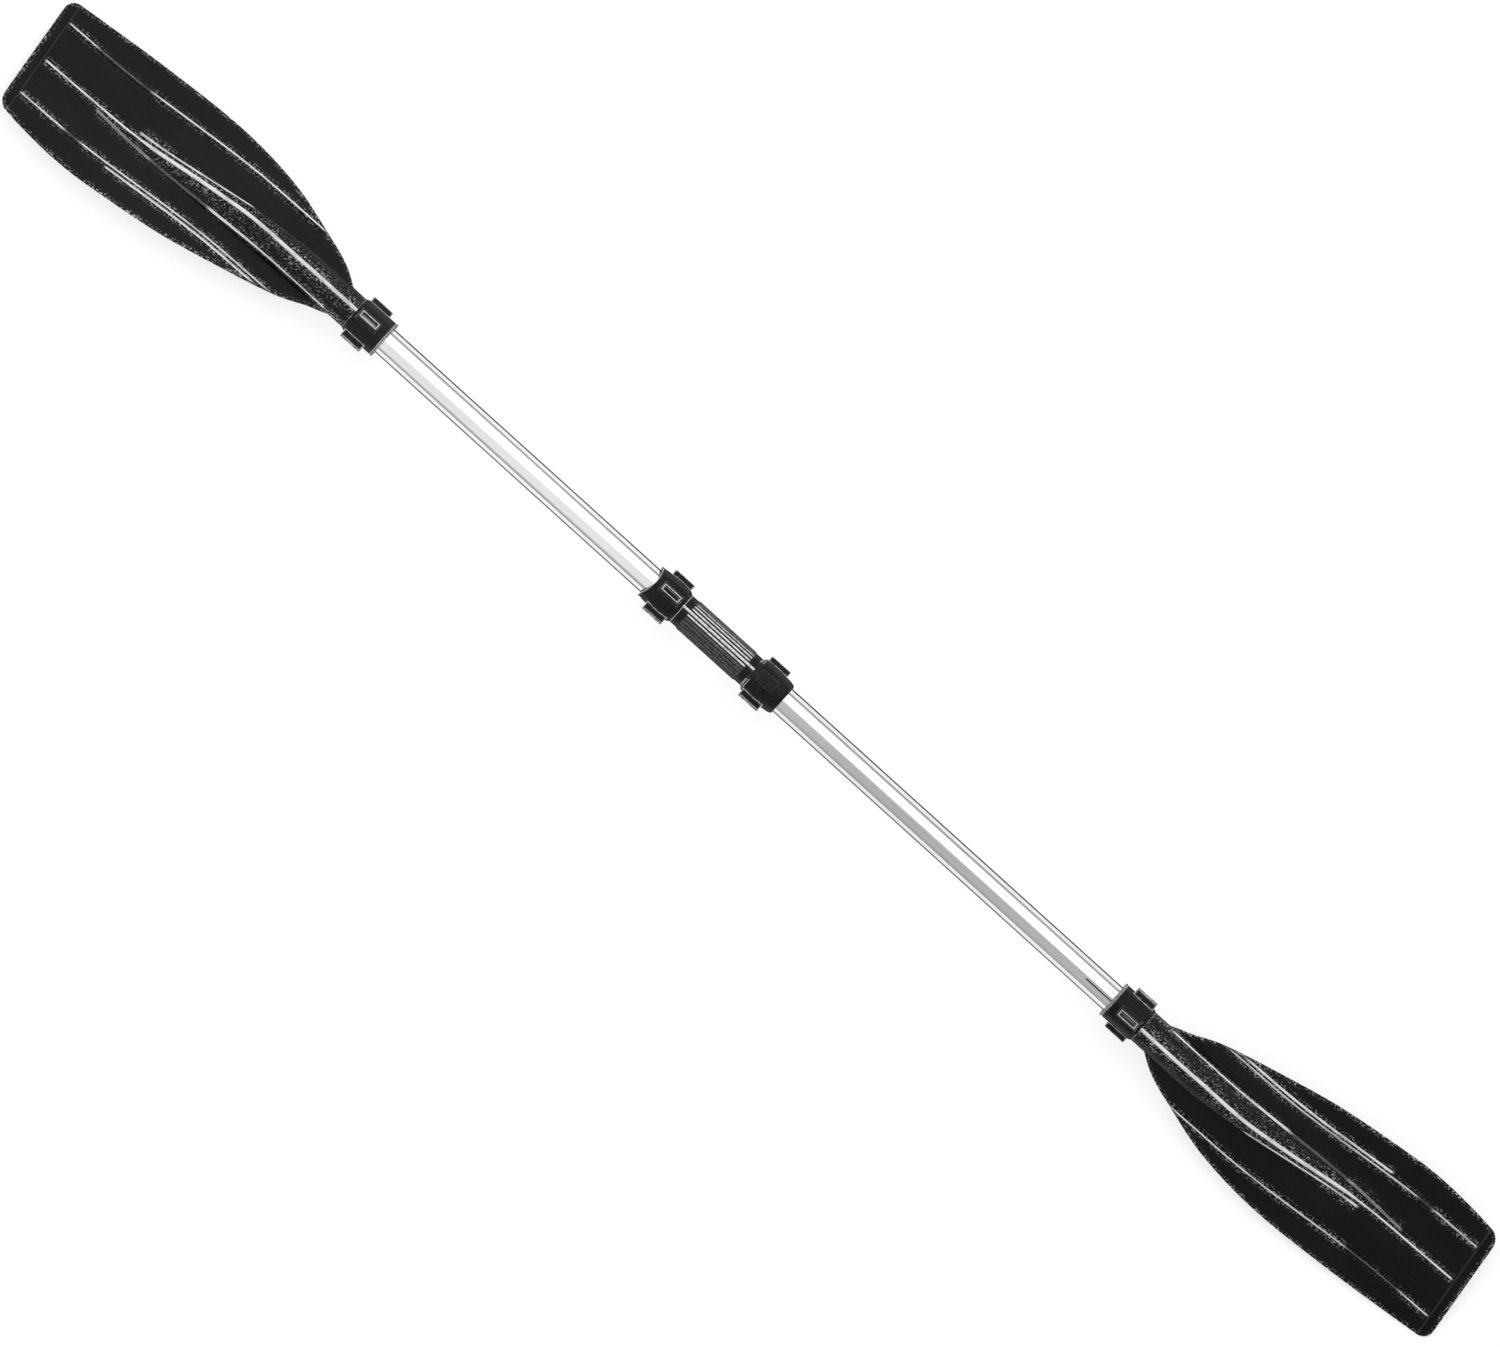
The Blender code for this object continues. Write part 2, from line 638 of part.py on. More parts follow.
def main():
    clear_scene()
    black = make_material("black_plastic", (0.012, 0.012, 0.013), 0.42, 0.0)
    key_black = make_material("key_plastic", (0.020, 0.020, 0.022), 0.35, 0.0)
    aluminium = make_material("aluminium", (0.80, 0.81, 0.83), 0.25, 1.0)
    spring_steel = make_material("spring_steel", (0.55, 0.56, 0.58), 0.30, 1.0)
    foam = make_material("foam", (0.05, 0.05, 0.05), 0.90, 0.0)

    paddle = Assembly("kayak_paddle")
    sockets = {
        "left_blade": socket_frame(LEFT_RIM_X, -1, -FEATHER_HALF),
        "connector_left": socket_frame(-CONNECTOR_HALF, 1, -FEATHER_HALF),
        "connector_right": socket_frame(CONNECTOR_HALF, -1, -FEATHER_HALF),
        "right_blade": socket_frame(RIGHT_RIM_X, 1, FEATHER_HALF),
    }

    connector = make_connector()
    paddle.place("centre_connector", connector, Matrix.Rotation(-FEATHER_HALF, 4, "X"), black)
    blade = make_blade()
    paddle.place("left_blade", blade, sockets["left_blade"], black)
    paddle.place("right_blade", blade, sockets["right_blade"], black)

    inner_end = WEB_HALF + SHAFT_END_GAP
    left_length = -LEFT_RIM_X + BLADE_BORE - SHAFT_END_GAP - inner_end
    right_length = RIGHT_RIM_X + BLADE_BORE - SHAFT_END_GAP - inner_end
    left_tube = make_shaft(FEATHER_HALF, FEATHER_HALF, left_length, slit=False)
    right_tube = make_shaft(-FEATHER_HALF, FEATHER_HALF, right_length, slit=True)
    half_turn = Matrix.Rotation(math.pi, 4, "Z")
    paddle.place("left_shaft", left_tube, Matrix.Translation((-inner_end, 0, 0)) @ half_turn, aluminium)
    paddle.place("right_shaft", right_tube, Matrix.Translation((inner_end, 0, 0)), aluminium)

    key, clip, plug = make_key(), make_clip(), make_plug()
    for name, frame in sockets.items():
        heads = frame @ Matrix.Translation((EAR_CENTRE, 0, 0))
        for side, towards in (("upper", 1), ("lower", -1)):
            # the upper key stands towards +Y, which is -Y in the sockets that face the other way
            quarter = Matrix.Rotation(-towards * math.copysign(math.pi / 2, frame[0][0]), 4, "X")
            paddle.place(f"{name}_key_{side}", key, heads @ quarter, key_black)
        paddle.place(f"{name}_clip", clip, heads, spring_steel)
        plug_end = heads @ Matrix.Translation((-PLUG_FROM_HEAD - PLUG_LENGTH, 0, 0))
        paddle.place(f"{name}_plug", plug, plug_end, foam)
    for bench in (connector, blade, left_tube, right_tube, key, clip, plug):
        bpy.data.objects.remove(bench, do_unlink=True)
    paddle.rest_on_ground()


main()
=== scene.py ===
"""Detailed look of the four-piece kayak paddle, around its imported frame.

X runs along the shaft and +Z is the ribbed side of the blades, which faces the camera.
"""

import json
import math

import bmesh
import bpy
import numpy as np
from mathutils import Matrix, Vector


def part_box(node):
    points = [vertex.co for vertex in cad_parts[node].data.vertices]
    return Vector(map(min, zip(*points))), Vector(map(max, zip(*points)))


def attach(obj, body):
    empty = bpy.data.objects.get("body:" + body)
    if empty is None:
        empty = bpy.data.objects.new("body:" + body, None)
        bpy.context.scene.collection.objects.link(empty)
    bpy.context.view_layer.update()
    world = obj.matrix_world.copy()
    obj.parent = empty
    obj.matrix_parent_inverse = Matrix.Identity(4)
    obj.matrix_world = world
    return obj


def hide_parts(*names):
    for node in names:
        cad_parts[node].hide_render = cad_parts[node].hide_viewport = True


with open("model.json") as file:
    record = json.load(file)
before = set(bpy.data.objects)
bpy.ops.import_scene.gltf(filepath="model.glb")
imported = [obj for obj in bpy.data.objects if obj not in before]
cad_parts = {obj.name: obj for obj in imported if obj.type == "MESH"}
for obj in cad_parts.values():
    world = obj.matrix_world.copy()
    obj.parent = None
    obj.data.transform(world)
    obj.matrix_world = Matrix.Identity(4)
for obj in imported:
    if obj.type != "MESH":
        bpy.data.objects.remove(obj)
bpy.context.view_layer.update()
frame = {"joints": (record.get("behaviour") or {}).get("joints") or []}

# ---------------------------------------------------------------- places, from the frame

shaft_low, shaft_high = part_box("left_shaft")
AXIS_Y = (shaft_low.y + shaft_high.y) / 2
AXIS_Z = (shaft_low.z + shaft_high.z) / 2
connector_low, connector_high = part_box("centre_connector")
CONNECTOR_X = (connector_low.x + connector_high.x) / 2
CONNECTOR_HALF = (connector_high.x - connector_low.x) / 2
LEFT_RIM_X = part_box("left_blade")[1].x
RIGHT_RIM_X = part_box("right_blade")[0].x

# ---------------------------------------------------------------- sizes, as the CAD has them

SHAFT_R = 0.0160
SHAFT_WALL = 0.0012
GAP = 0.0003
BORE_R = SHAFT_R + GAP
WEB_HALF = 0.0080
BLADE_BORE = 0.0680
SHAFT_END_GAP = 0.0020
COLLAR_R = 0.0216
RIM_R = 0.0222
EAR_CENTRE = 0.0261
EAR_LENGTH = 0.0267
EAR_TOP_R = 0.0274
EAR_TOP_WIDTH = 0.0095
EAR_BASE_R = 0.0180
EAR_BASE_WIDTH = 0.0160
WINDOW_LENGTH = 0.0210
WINDOW_WIDTH = 0.0056
POCKET_LENGTH = 0.0240
POCKET_WIDTH = 0.0090
POCKET_R = 0.0220
RECESS_FLOOR_R = 0.0185
KEY_TOP_R = 0.0280
KEY_FOOT_R = 0.0205
KEY_FOOT_THICK = 0.0012
HEAD_R = 0.0039
HEAD_HOLE_R = 0.0042
HEAD_TOP_R = 0.0202
CLIP_WIDTH = 0.0080
CLIP_THICK = 0.0008
CLIP_LEG_R = 0.0132
CLIP_BEND_R = 0.0030
CLIP_LENGTH = 0.0300
CLIP_TAIL = 0.0055
PLUG_R = SHAFT_R - SHAFT_WALL - GAP
PLUG_LENGTH = 0.0300
PLUG_FROM_HEAD = 0.0160
SLIT_WIDTH = 0.0015
SLIT_OUTSIDE = 0.0360
GRIP_R = 0.0184
GRIP_FLUTES = 28
FLUTE_R = 0.0009
FLUTE_HALF = 0.0415
SEAM_RIB_HALF = 0.0520
SEAM_RIB_R = 0.0012
MOUTH_R = 0.0200
BARREL_R = 0.0220
MOUTH_SCALLOP_R = 0.0393
MOUTH_SCALLOP_DEPTH = 0.0053
END_ROUND_R = 0.0176
PAD_LENGTH = 0.0220
PAD_WIDTH = 0.0120
PAD_TOP_R = 0.0242
NECK_R = 0.0197
NECK_START = 0.0430
NECK_END = 0.0640
BLADE_TIP = 0.4950
TIP_SLANT = math.tan(math.radians(7.1))
TIP_CORNER_R = 0.0130
PLATE_THICK = 0.0032
PLATE_DROP = 0.0080
SPOON_DEPTH = 0.0300
SPOON_POWER = 1.6
CAMBER = 0.0045
SWEEP = 0.0130
RIB_SPACING = 0.0460
BORDER_INSET = 0.0130
BORDER_R = 0.0012
BORDER_HEIGHT = 0.0010
RIB_PINCH = 0.0015
RIB_HEIGHT = 0.0017
RIB_TOP_HALF = 0.0012
RIB_FOOT_HALF = 0.0021
SPINE_TAPER = 0.1300
SPINE_END = 0.4550
SPINE_TIP_HALF = 0.0018
SPINE_SWEEP = 0.0135
SPINE_PROUD = 0.0012
CREST_LEAN = 0.0048
CREST_R = 0.0015
CREST_HEIGHT = 0.0012
LONG_EDGE = [
    (0.0520, 0.0120), (0.0680, 0.0200), (0.0860, 0.0266), (0.1180, 0.0406), (0.1820, 0.0575),
    (0.2620, 0.0750), (0.3590, 0.0864), (0.4070, 0.0877), (0.4550, 0.0850), (0.4950, 0.0805),
]
SHORT_EDGE = [
    (0.0520, 0.0120), (0.0620, 0.0212), (0.0860, 0.0355), (0.1180, 0.0466), (0.1820, 0.0647),
    (0.2620, 0.0723), (0.3590, 0.0685), (0.4550, 0.0606), (0.4950, 0.0570),
]

# ---------------------------------------------------------------- finishes and light

BLADE_TONE = 0.0042
SOCKET_TONE = 0.0048
KEY_TONE = 0.0065
# painted highlights: their strength on the edges of sockets and keys, on the grip's edges, and their colour
EDGE_HIGHLIGHT = 0.95
GRIP_EDGE = 0.10
PAINTED_HIGHLIGHT = 0.95
SKY = 0.42
FLOOR_GLOW = 0.62
# name, place along the shaft, radiance overhead and behind it, radiance in front of it
SOFTBOX_ROWS = (("left", -1.0, 1.18, 0.54), ("right", 0.9, 0.90, 0.09))
CARD_HALF_LENGTH = 1.2
CARD_HALF_WIDTH = 0.074
CARD_SHIFT = 0.006


def smooth(start, end, x):
    """Rise from 0 at start to 1 at end with level ends."""
    t = np.clip((np.asarray(x, float) - start) / (end - start), 0.0, 1.0)
    return t * t * (3.0 - 2.0 * t)


def along(points, x):
    """Values at x of a smooth curve through the points."""
    px, py = np.array(points).T
    x = np.maximum(np.asarray(x, float), px[0])
    i = np.clip(np.searchsorted(px, x, side="right") - 1, 0, len(px) - 2)
    before, after = np.maximum(i - 1, 0), np.minimum(i + 2, len(px) - 1)
    slope0 = (py[i + 1] - py[before]) / (px[i + 1] - px[before])
    slope1 = (py[after] - py[i]) / (px[after] - px[i])
    h = px[i + 1] - px[i]
    t = (x - px[i]) / h
    rise = py[i] + (py[i + 1] - py[i]) * (3 * t * t - 2 * t ** 3)
    return rise + h * (slope0 * (t - 2 * t * t + t ** 3) + slope1 * (t ** 3 - t * t))


# ---------------------------------------------------------------- shader helpers


class Shader:
    """A node material, built from short calls."""

    def __init__(self, name):
        self.material = bpy.data.materials.new(name)
        self.material.use_nodes = True
        self.tree = self.material.node_tree
        self.tree.nodes.clear()
        self.place = self.add("TexCoord").outputs["Object"]

    def feed(self, socket, value):
        if isinstance(value, bpy.types.NodeSocket):
            self.tree.links.new(value, socket)
        else:
            socket.default_value = value

    def add(self, kind, inputs=None, **settings):
        node = self.tree.nodes.new("ShaderNode" + kind)
        for key, value in settings.items():
            setattr(node, key, value)
        for key, value in (inputs or {}).items():
            self.feed(node.inputs[key], value)
        return node

    def math(self, operation, a, b=0.0, c=0.0, clamp=False):
        return self.add("Math", {0: a, 1: b, 2: c}, operation=operation, use_clamp=clamp).outputs[0]

    def remap(self, value, low, high, to_low=0.0, to_high=1.0):
        """value from low to high, as to_low to to_high, and level outside."""
        return self.add("MapRange", {0: value, 1: low, 2: high, 3: to_low, 4: to_high}).outputs[0]

    def noise(self, scale, detail=2.0, rough=0.5, stretch=(1.0, 1.0, 1.0), shift=0.0):
        """Noise of scale spots a metre, finer along an axis by its stretch; shift gives another pattern."""
        place = self.place
        if stretch != (1.0, 1.0, 1.0) or shift:
            mapping = {"Vector": place, "Location": (shift,) * 3, "Scale": stretch}
            place = self.add("Mapping", mapping).outputs[0]
        inputs = {"Vector": place, "Scale": scale, "Detail": detail, "Roughness": rough}
        return self.add("TexNoise", inputs).outputs[0]

    def blend(self, factor, a, b):
        """Colour a at factor 0, b at 1."""
        node = self.add("Mix", data_type="RGBA")
        for socket, value in ((node.inputs[0], factor), (node.inputs[6], a), (node.inputs[7], b)):
            self.feed(socket, value)
        return node.outputs[2]

    def bump(self, height, strength, distance, normal=None):
        inputs = {"Height": height, "Strength": strength, "Distance": distance}
        if normal is not None:
            inputs["Normal"] = normal
        return self.add("Bump", inputs).outputs[0]

    def attribute(self, name):
        return self.add("Attribute", attribute_name=name, attribute_type="GEOMETRY").outputs["Vector"]

    def parts(self, vector):
        return self.add("SeparateXYZ", {0: vector}).outputs[:3]

    def edges(self, radius, low=0.02, high=0.16):
        """1 on edges of about that radius, and 0 on flat faces."""
        rounded = self.add("Bevel", {"Radius": radius}, samples=6).outputs[0]
        true = self.add("NewGeometry").outputs["Normal"]
        alike = self.add("VectorMath", {0: rounded, 1: true}, operation="DOT_PRODUCT").outputs["Value"]
        return self.remap(self.math("SUBTRACT", 1.0, alike), low, high)

    def finish(self, colour, roughness, normal=None, metallic=0.0, specular=0.5, tint=(1, 1, 1, 1), **more):
        shader = self.add("BsdfPrincipled", {
            "Base Color": colour, "Roughness": roughness, "Metallic": metallic,
            "Specular IOR Level": specular, "Specular Tint": tint, **more,
        })
        if normal is not None:
            self.feed(shader.inputs["Normal"], normal)
        output = self.add("OutputMaterial")
        self.tree.links.new(shader.outputs[0], output.inputs["Surface"])
        return self.material


def grey(value, warmth=0.0):
    return (value * (1 + warmth), value, value * (1 - warmth), 1.0)


def moulded_plastic(name, base, ridges=False, edge_highlight=0.0, painted_flute_highlights=False):
    """Satin black moulding: fine grain, soft flow marks and scuffs.

    ridges paints highlights on the lines that a blade's attributes give, with scuffs and painted glints round
    them; otherwise edges get a painted highlight, by edge_highlight, and painted_flute_highlights adds
    painted highlights on the crowns of the grip's flutes.
    """
    s = Shader(name)
    flow = s.noise(5.0, 4.0, 0.55, stretch=(1.0, 3.0, 3.0))
    mottle = s.noise(42.0, 3.0, 0.6, shift=3.7)
    grain = s.noise(2600.0, 2.0, 0.6)
    speck = s.noise(480.0, 1.0, 0.6, shift=1.3)
    scratch = s.noise(9.0, 3.0, 0.6, stretch=(1.0, 60.0, 60.0), shift=5.1)
    tone = s.math("MULTIPLY_ADD", s.remap(flow, 0.40, 0.68), 0.75, s.math("MULTIPLY", mottle, 0.5))
    colour = s.blend(tone, grey(base * 0.45), grey(base * 2.3))
    colour = s.blend(s.math("MULTIPLY", s.remap(scratch, 0.66, 0.74), 0.06), colour, grey(0.20))
    roughness = s.math("ADD", s.remap(flow, 0.3, 0.7, 0.34, 0.46), s.remap(speck, 0.35, 0.65, -0.03, 0.05))
    if ridges:
        # painted highlights: bright lines along the blade's ridges, crest, spine edges and tip border, fading
        # where the light misses them, broken up by noise
        highlight_breakup = s.noise(95.0, 3.0, 0.65, stretch=(0.35, 1.0, 1.0), shift=8.2)
        broken = s.remap(highlight_breakup, 0.33, 0.52, 0.60, 1.0)
        lit = []
        near = []
        for distance, strength in (("line_a", "lit_a"), ("line_b", "lit_b")):
            for d, k in zip(s.parts(s.attribute(distance)), s.parts(s.attribute(strength))):
                away = s.math("ABSOLUTE", d)
                lit.append(s.math("MULTIPLY", s.remap(away, 0.00070, 0.00125, 1.0, 0.0), k))
                close = s.remap(away, 0.0008, 0.0070, 1.0, 0.0)
                near.append(s.math("MULTIPLY", close, s.math("MINIMUM", k, 0.8)))
        line, glint_and_scuff_zone = lit[0], near[0]
        for next_line, next_halo in zip(lit[1:], near[1:]):
            line = s.math("MAXIMUM", line, next_line)
            glint_and_scuff_zone = s.math("MAXIMUM", glint_and_scuff_zone, next_halo)
        edge_distance, border_distance = s.parts(s.attribute("rim"))[:2]
        border = s.remap(s.math("ABSOLUTE", border_distance), 0.0004, 0.0014, 0.035, 0.0)
        rim = s.remap(edge_distance, 0.0006, 0.0052, 1.0, 0.0)
        glint_and_scuff_zone = s.math("MULTIPLY", s.math("MAXIMUM", glint_and_scuff_zone, rim), s.remap(mottle, 0.38, 0.58, 0.35, 1.0))
        # scuffs gather round the painted highlight lines as painted glints, and along the outline
        scuffs_and_glints = s.math("MULTIPLY", s.remap(speck, 0.55, 0.62), glint_and_scuff_zone)
        colour = s.blend(s.math("MULTIPLY", scuffs_and_glints, 0.85), colour, grey(0.72))
        highlight_paint = s.math("MULTIPLY", s.math("MAXIMUM", line, border), broken)
        colour = s.blend(highlight_paint, colour, grey(PAINTED_HIGHLIGHT))
        roughness = s.math("MULTIPLY_ADD", highlight_paint, -0.12, roughness)
    else:
        # painted highlights on the edges, broken up by noise and left off where no_highlight marks them;
        # scuffs gather near the edges
        highlight_breakup = s.noise(330.0, 3.0, 0.65, shift=8.2)
        near = s.edges(0.0030, 0.004, 0.06)
        edge = s.math("MULTIPLY", s.edges(0.0017, 0.006, 0.06), s.remap(highlight_breakup, 0.36, 0.54, 0.55, 1.0))
        highlight_here = s.remap(s.parts(s.attribute("no_highlight"))[0], 0.0, 1.0, 1.0, 0.06)
        edge, near = s.math("MULTIPLY", edge, highlight_here), s.math("MULTIPLY", near, highlight_here)
        scuffed = s.math("MULTIPLY_ADD", near, 0.20 if painted_flute_highlights else 0.70, 0.02)
        colour = s.blend(s.math("MULTIPLY", s.remap(speck, 0.54, 0.62), scuffed), colour, grey(0.60))
        colour = s.blend(s.math("MULTIPLY", edge, edge_highlight), colour, grey(PAINTED_HIGHLIGHT))
        roughness = s.math("MULTIPLY_ADD", edge, -0.10, roughness)
        # painted highlights on the crowns of the grip's flutes
        if painted_flute_highlights:
            broken = s.remap(highlight_breakup, 0.36, 0.50, 0.40, 1.0)
            crown = s.math("MULTIPLY", s.parts(s.attribute("highlight_paint"))[0], broken)
            colour = s.blend(crown, colour, grey(PAINTED_HIGHLIGHT))
    normal = s.bump(grain, 0.22, 0.00012)
    normal = s.bump(mottle, 0.10, 0.0006, normal)
    return s.finish(colour, roughness, normal, specular=0.15)


def drawn_aluminium():
    """Bright drawn tube: streaks along the shaft, fine rub marks round it, small dark pits, and a bore
    painted near black as shade.
    """
    s = Shader("drawn_aluminium")
    streak = s.noise(3.0, 5.0, 0.62, stretch=(1.0, 260.0, 260.0))
    broad = s.noise(2.2, 3.0, 0.5, stretch=(1.0, 26.0, 26.0), shift=4.0)
    rub = s.noise(26.0, 4.0, 0.6, stretch=(14.0, 1.0, 1.0), shift=2.0)
    pit = s.noise(1500.0, 2.0, 0.6, shift=7.0)
    tone = s.math("MULTIPLY_ADD", streak, 0.55, s.math("MULTIPLY", broad, 0.45))
    colour = s.blend(s.remap(tone, 0.32, 0.68), grey(0.74, -0.012), grey(0.93, -0.006))
    colour = s.blend(s.math("MULTIPLY", s.remap(pit, 0.68, 0.76), 0.35), colour, grey(0.45))
    # the bore and the cut faces are painted near black: painted shade inside the tube
    x, y, z = s.parts(s.place)
    squares = [s.math("POWER", s.math("SUBTRACT", v, axis), 2.0) for v, axis in ((y, AXIS_Y), (z, AXIS_Z))]
    off_axis = s.math("POWER", s.math("ADD", *squares), 0.5)
    inner = s.remap(off_axis, SHAFT_R - 0.30 * SHAFT_WALL, SHAFT_R - 0.12 * SHAFT_WALL, 1.0, 0.0)
    colour = s.blend(s.math("MULTIPLY", inner, 0.98), colour, grey(0.02))
    roughness = s.math("ADD", s.remap(streak, 0.3, 0.7, 0.11, 0.20), s.remap(rub, 0.45, 0.75, 0.0, 0.06))
    # the ends are rubbed dull inside the blades
    off_middle = s.math("ABSOLUTE", s.math("SUBTRACT", x, (LEFT_RIM_X + RIGHT_RIM_X) / 2))
    half_free = (RIGHT_RIM_X - LEFT_RIM_X) / 2
    rubbed = s.remap(off_middle, half_free + 0.004, half_free + 0.010, 0.0, 0.50)
    roughness = s.math("MAXIMUM", roughness, rubbed)
    normal = s.bump(streak, 0.16, 0.00008)
    normal = s.bump(rub, 0.05, 0.00010, normal)
    return s.finish(colour, roughness, normal, metallic=1.0, tint=grey(0.10))


def brushed_steel():
    s = Shader("brushed_spring_steel")
    brush = s.noise(40.0, 4.0, 0.6, stretch=(1.0, 30.0, 30.0))
    stain = s.noise(160.0, 3.0, 0.6, shift=2.0)
    colour = s.blend(s.remap(brush, 0.3, 0.7), grey(0.42, 0.02), grey(0.66, 0.02))
    colour = s.blend(s.remap(stain, 0.58, 0.72, 0.0, 0.5), colour, grey(0.22, 0.12))
    roughness = s.remap(stain, 0.3, 0.7, 0.24, 0.42)
    return s.finish(colour, roughness, s.bump(brush, 0.2, 0.0001), metallic=1.0)


def closed_cell_foam():
    s = Shader("closed_cell_foam")
    cells = s.add("TexVoronoi", {"Vector": s.place, "Scale": 1500.0}).outputs["Distance"]
    cloud = s.noise(120.0, 3.0, 0.6)
    colour = s.blend(s.remap(cells, 0.1, 0.6), grey(0.020), grey(0.085, 0.03))
    colour = s.blend(s.remap(cloud, 0.5, 0.7, 0.0, 0.5), colour, grey(0.12, 0.03))
    return s.finish(colour, s.remap(cloud, 0.3, 0.7, 0.82, 0.96), s.bump(cells, 0.7, 0.0004))


# ---------------------------------------------------------------- mesh helpers


def mesh_object(name, mesh):
    obj = bpy.data.objects.new(name, mesh)
    bpy.context.scene.collection.objects.link(obj)
    return obj


def from_bmesh(name, bm):
    bmesh.ops.recalc_face_normals(bm, faces=bm.faces)
    mesh = bpy.data.meshes.new(name)
    bm.to_mesh(mesh)
    bm.free()
    return mesh_object(name, mesh)


def from_grid(name, points, faces, values=None):
    """Object from arrays: points that fall together become one, and faces that collapse are left out."""
    unique, inverse = np.unique(points, axis=0, return_inverse=True)
    inverse = inverse.reshape(-1)
    kept = []
    for face in inverse[np.asarray(faces)]:
        corners = [int(c) for i, c in enumerate(face) if c != face[i - 1]]
        if len(set(corners)) == len(corners) and len(corners) > 2:
            kept.append(corners)
    mesh = bpy.data.meshes.new(name)
    mesh.from_pydata(unique.tolist(), [], kept)
    for key, value in (values or {}).items():
        merged = np.zeros((len(unique), 3))
        merged[inverse] = value
        layer = mesh.attributes.new(key, "FLOAT_VECTOR", "POINT")
        layer.data.foreach_set("vector", merged.astype(np.float32).ravel())
    mesh.update()
    bm = bmesh.new()
    bm.from_mesh(mesh)
    bmesh.ops.recalc_face_normals(bm, faces=bm.faces)
    bm.to_mesh(mesh)
    bm.free()
    return mesh_object(name, mesh)


def ring_faces(rings, count, closed=False):
    """Quads between rings of count points; closed joins the last ring to the first."""
    faces = []
    for i in range(rings if closed else rings - 1):
        a, b = i * count, ((i + 1) % rings) * count
        k = np.arange(count)
        n = (k + 1) % count
        faces.append(np.stack([a + k, a + n, b + n, b + k], axis=1))
    return np.concatenate(faces)


def lathe(name, profile, sides=96):
    """Turned about the X axis from (x, radius) points: a closed loop, or a line from axis to axis."""
    angles = math.tau * np.arange(sides) / sides
    cos, sin = np.cos(angles), np.sin(angles)
    rings = [np.stack([np.full(sides, x), r * cos, r * sin], axis=1) for x, r in profile]
    points = np.round(np.concatenate(rings), 9)
    return from_grid(name, points, ring_faces(len(rings), sides, closed=profile[0][1] != 0.0))


def combine(target, operation, tools):
    """Join the tools to the target, or cut them out of it, and remove them."""
    for tool in tools:
        boolean = target.modifiers.new(operation.lower(), "BOOLEAN")
        boolean.operation = operation
        boolean.solver = "EXACT"
        boolean.object = tool
    bpy.context.view_layer.update()
    evaluated = target.evaluated_get(bpy.context.evaluated_depsgraph_get())
    mesh = bpy.data.meshes.new_from_object(evaluated)
    target.modifiers.clear()
    target.data = mesh
    for tool in tools:
        bpy.data.objects.remove(tool, do_unlink=True)
    return target


def box(name, size, centre, bevel=0.0, segments=3, taper=None):
    """Block whose edges are rounded; taper gives the width in y of its underside."""
    bm = bmesh.new()
    bmesh.ops.create_cube(bm, size=1.0)
    for vert in bm.verts:
        width = taper if taper is not None and vert.co.z < 0 else size[1]
        vert.co = Vector((vert.co.x * size[0], vert.co.y * width, vert.co.z * size[2]))
    if bevel:
        bmesh.ops.bevel(bm, geom=bm.edges[:], offset=bevel, segments=segments, affect="EDGES", profile=0.5)
    bmesh.ops.translate(bm, verts=bm.verts, vec=centre)
    return from_bmesh(name, bm)


def rod(name, radius, start, end, sides=48):
    start, end = Vector(start), Vector(end)
    turn = (end - start).to_track_quat("Z", "Y").to_matrix().to_4x4()
    bm = bmesh.new()
    bmesh.ops.create_cone(
        bm, cap_ends=True, segments=sides, radius1=radius, radius2=radius,
        depth=(end - start).length, matrix=Matrix.Translation((start + end) / 2) @ turn,
    )
    return from_bmesh(name, bm)


def turned_about_shaft(obj, angle, x=0.0):
    """Moves a mesh made on +Z to an angle round the shaft (0 is +Y, 90 degrees is +Z) and along it."""
    obj.data.transform(Matrix.Translation((x, 0, 0)) @ Matrix.Rotation(angle - math.pi / 2, 4, "X"))
    return obj


def socket_frame(rim_x, inwards, turn):
    """Frame of a socket in the row frame: origin at the rim on the axis, x into the socket."""
    placed = Matrix.Translation((rim_x, AXIS_Y, AXIS_Z)) @ Matrix.Rotation(turn, 4, "X")
    return placed if inwards > 0 else placed @ Matrix.Rotation(math.pi, 4, "Z")


def add_piece(name, source, placed, body, node, material, angle=32.0, weighted=False):
    """Places a copy of a mesh made in its own frame, and has it ride on its body in place of its CAD node."""
    obj = mesh_object(name, source.data.copy())
    obj.data.name = name
    obj.data.transform(placed)
    obj.data.materials.clear()
    obj.data.materials.append(material)
    obj.data.shade_smooth()
    obj.data.set_sharp_from_angle(angle=math.radians(angle))
    if weighted:
        normals = obj.modifiers.new("normals", "WEIGHTED_NORMAL")
        normals.keep_sharp = True
    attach(obj, body)
    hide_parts(node)
    return obj


# ---------------------------------------------------------------- blade


def plate_z(s):
    t = np.maximum(0.0, (s - 0.060) / (BLADE_TIP - 0.060))
    return -PLATE_DROP - SPOON_DEPTH * t ** SPOON_POWER


def centre_y(s):
    return SWEEP * smooth(0.190, 0.420, s)


def spine_centre(s):
    return SPINE_SWEEP * smooth(0.110, 0.360, s)


def crest_y(s):
    return spine_centre(s) - CREST_LEAN * smooth(0.120, 0.210, s) * (1 - smooth(0.250, 0.390, s))


def rib_y(side, s):
    pinch = RIB_PINCH * (1 - smooth(0.120, 0.350, s)) if side > 0 else 0.0
    return centre_y(s) + side * (RIB_SPACING - pinch)


def spine_half(s):
    taper = np.clip((s - SPINE_TAPER) / (SPINE_END - SPINE_TAPER), 0.0, 1.0)
    return NECK_R + (SPINE_TIP_HALF - NECK_R) * taper


def spine_top(s):
    level = plate_z(s) + PLATE_THICK / 2 + SPINE_PROUD * (1 - smooth(0.380, 0.450, s))
    return NECK_R + (level - NECK_R) * smooth(0.095, 0.345, s)


def soft_max(a, b, width):
    return np.maximum(a, b) + np.maximum(width - np.abs(a - b), 0.0) ** 2 / (4 * width)


def hat(x):
    return 1.0 - smooth(0.0, 1.0, np.abs(x))


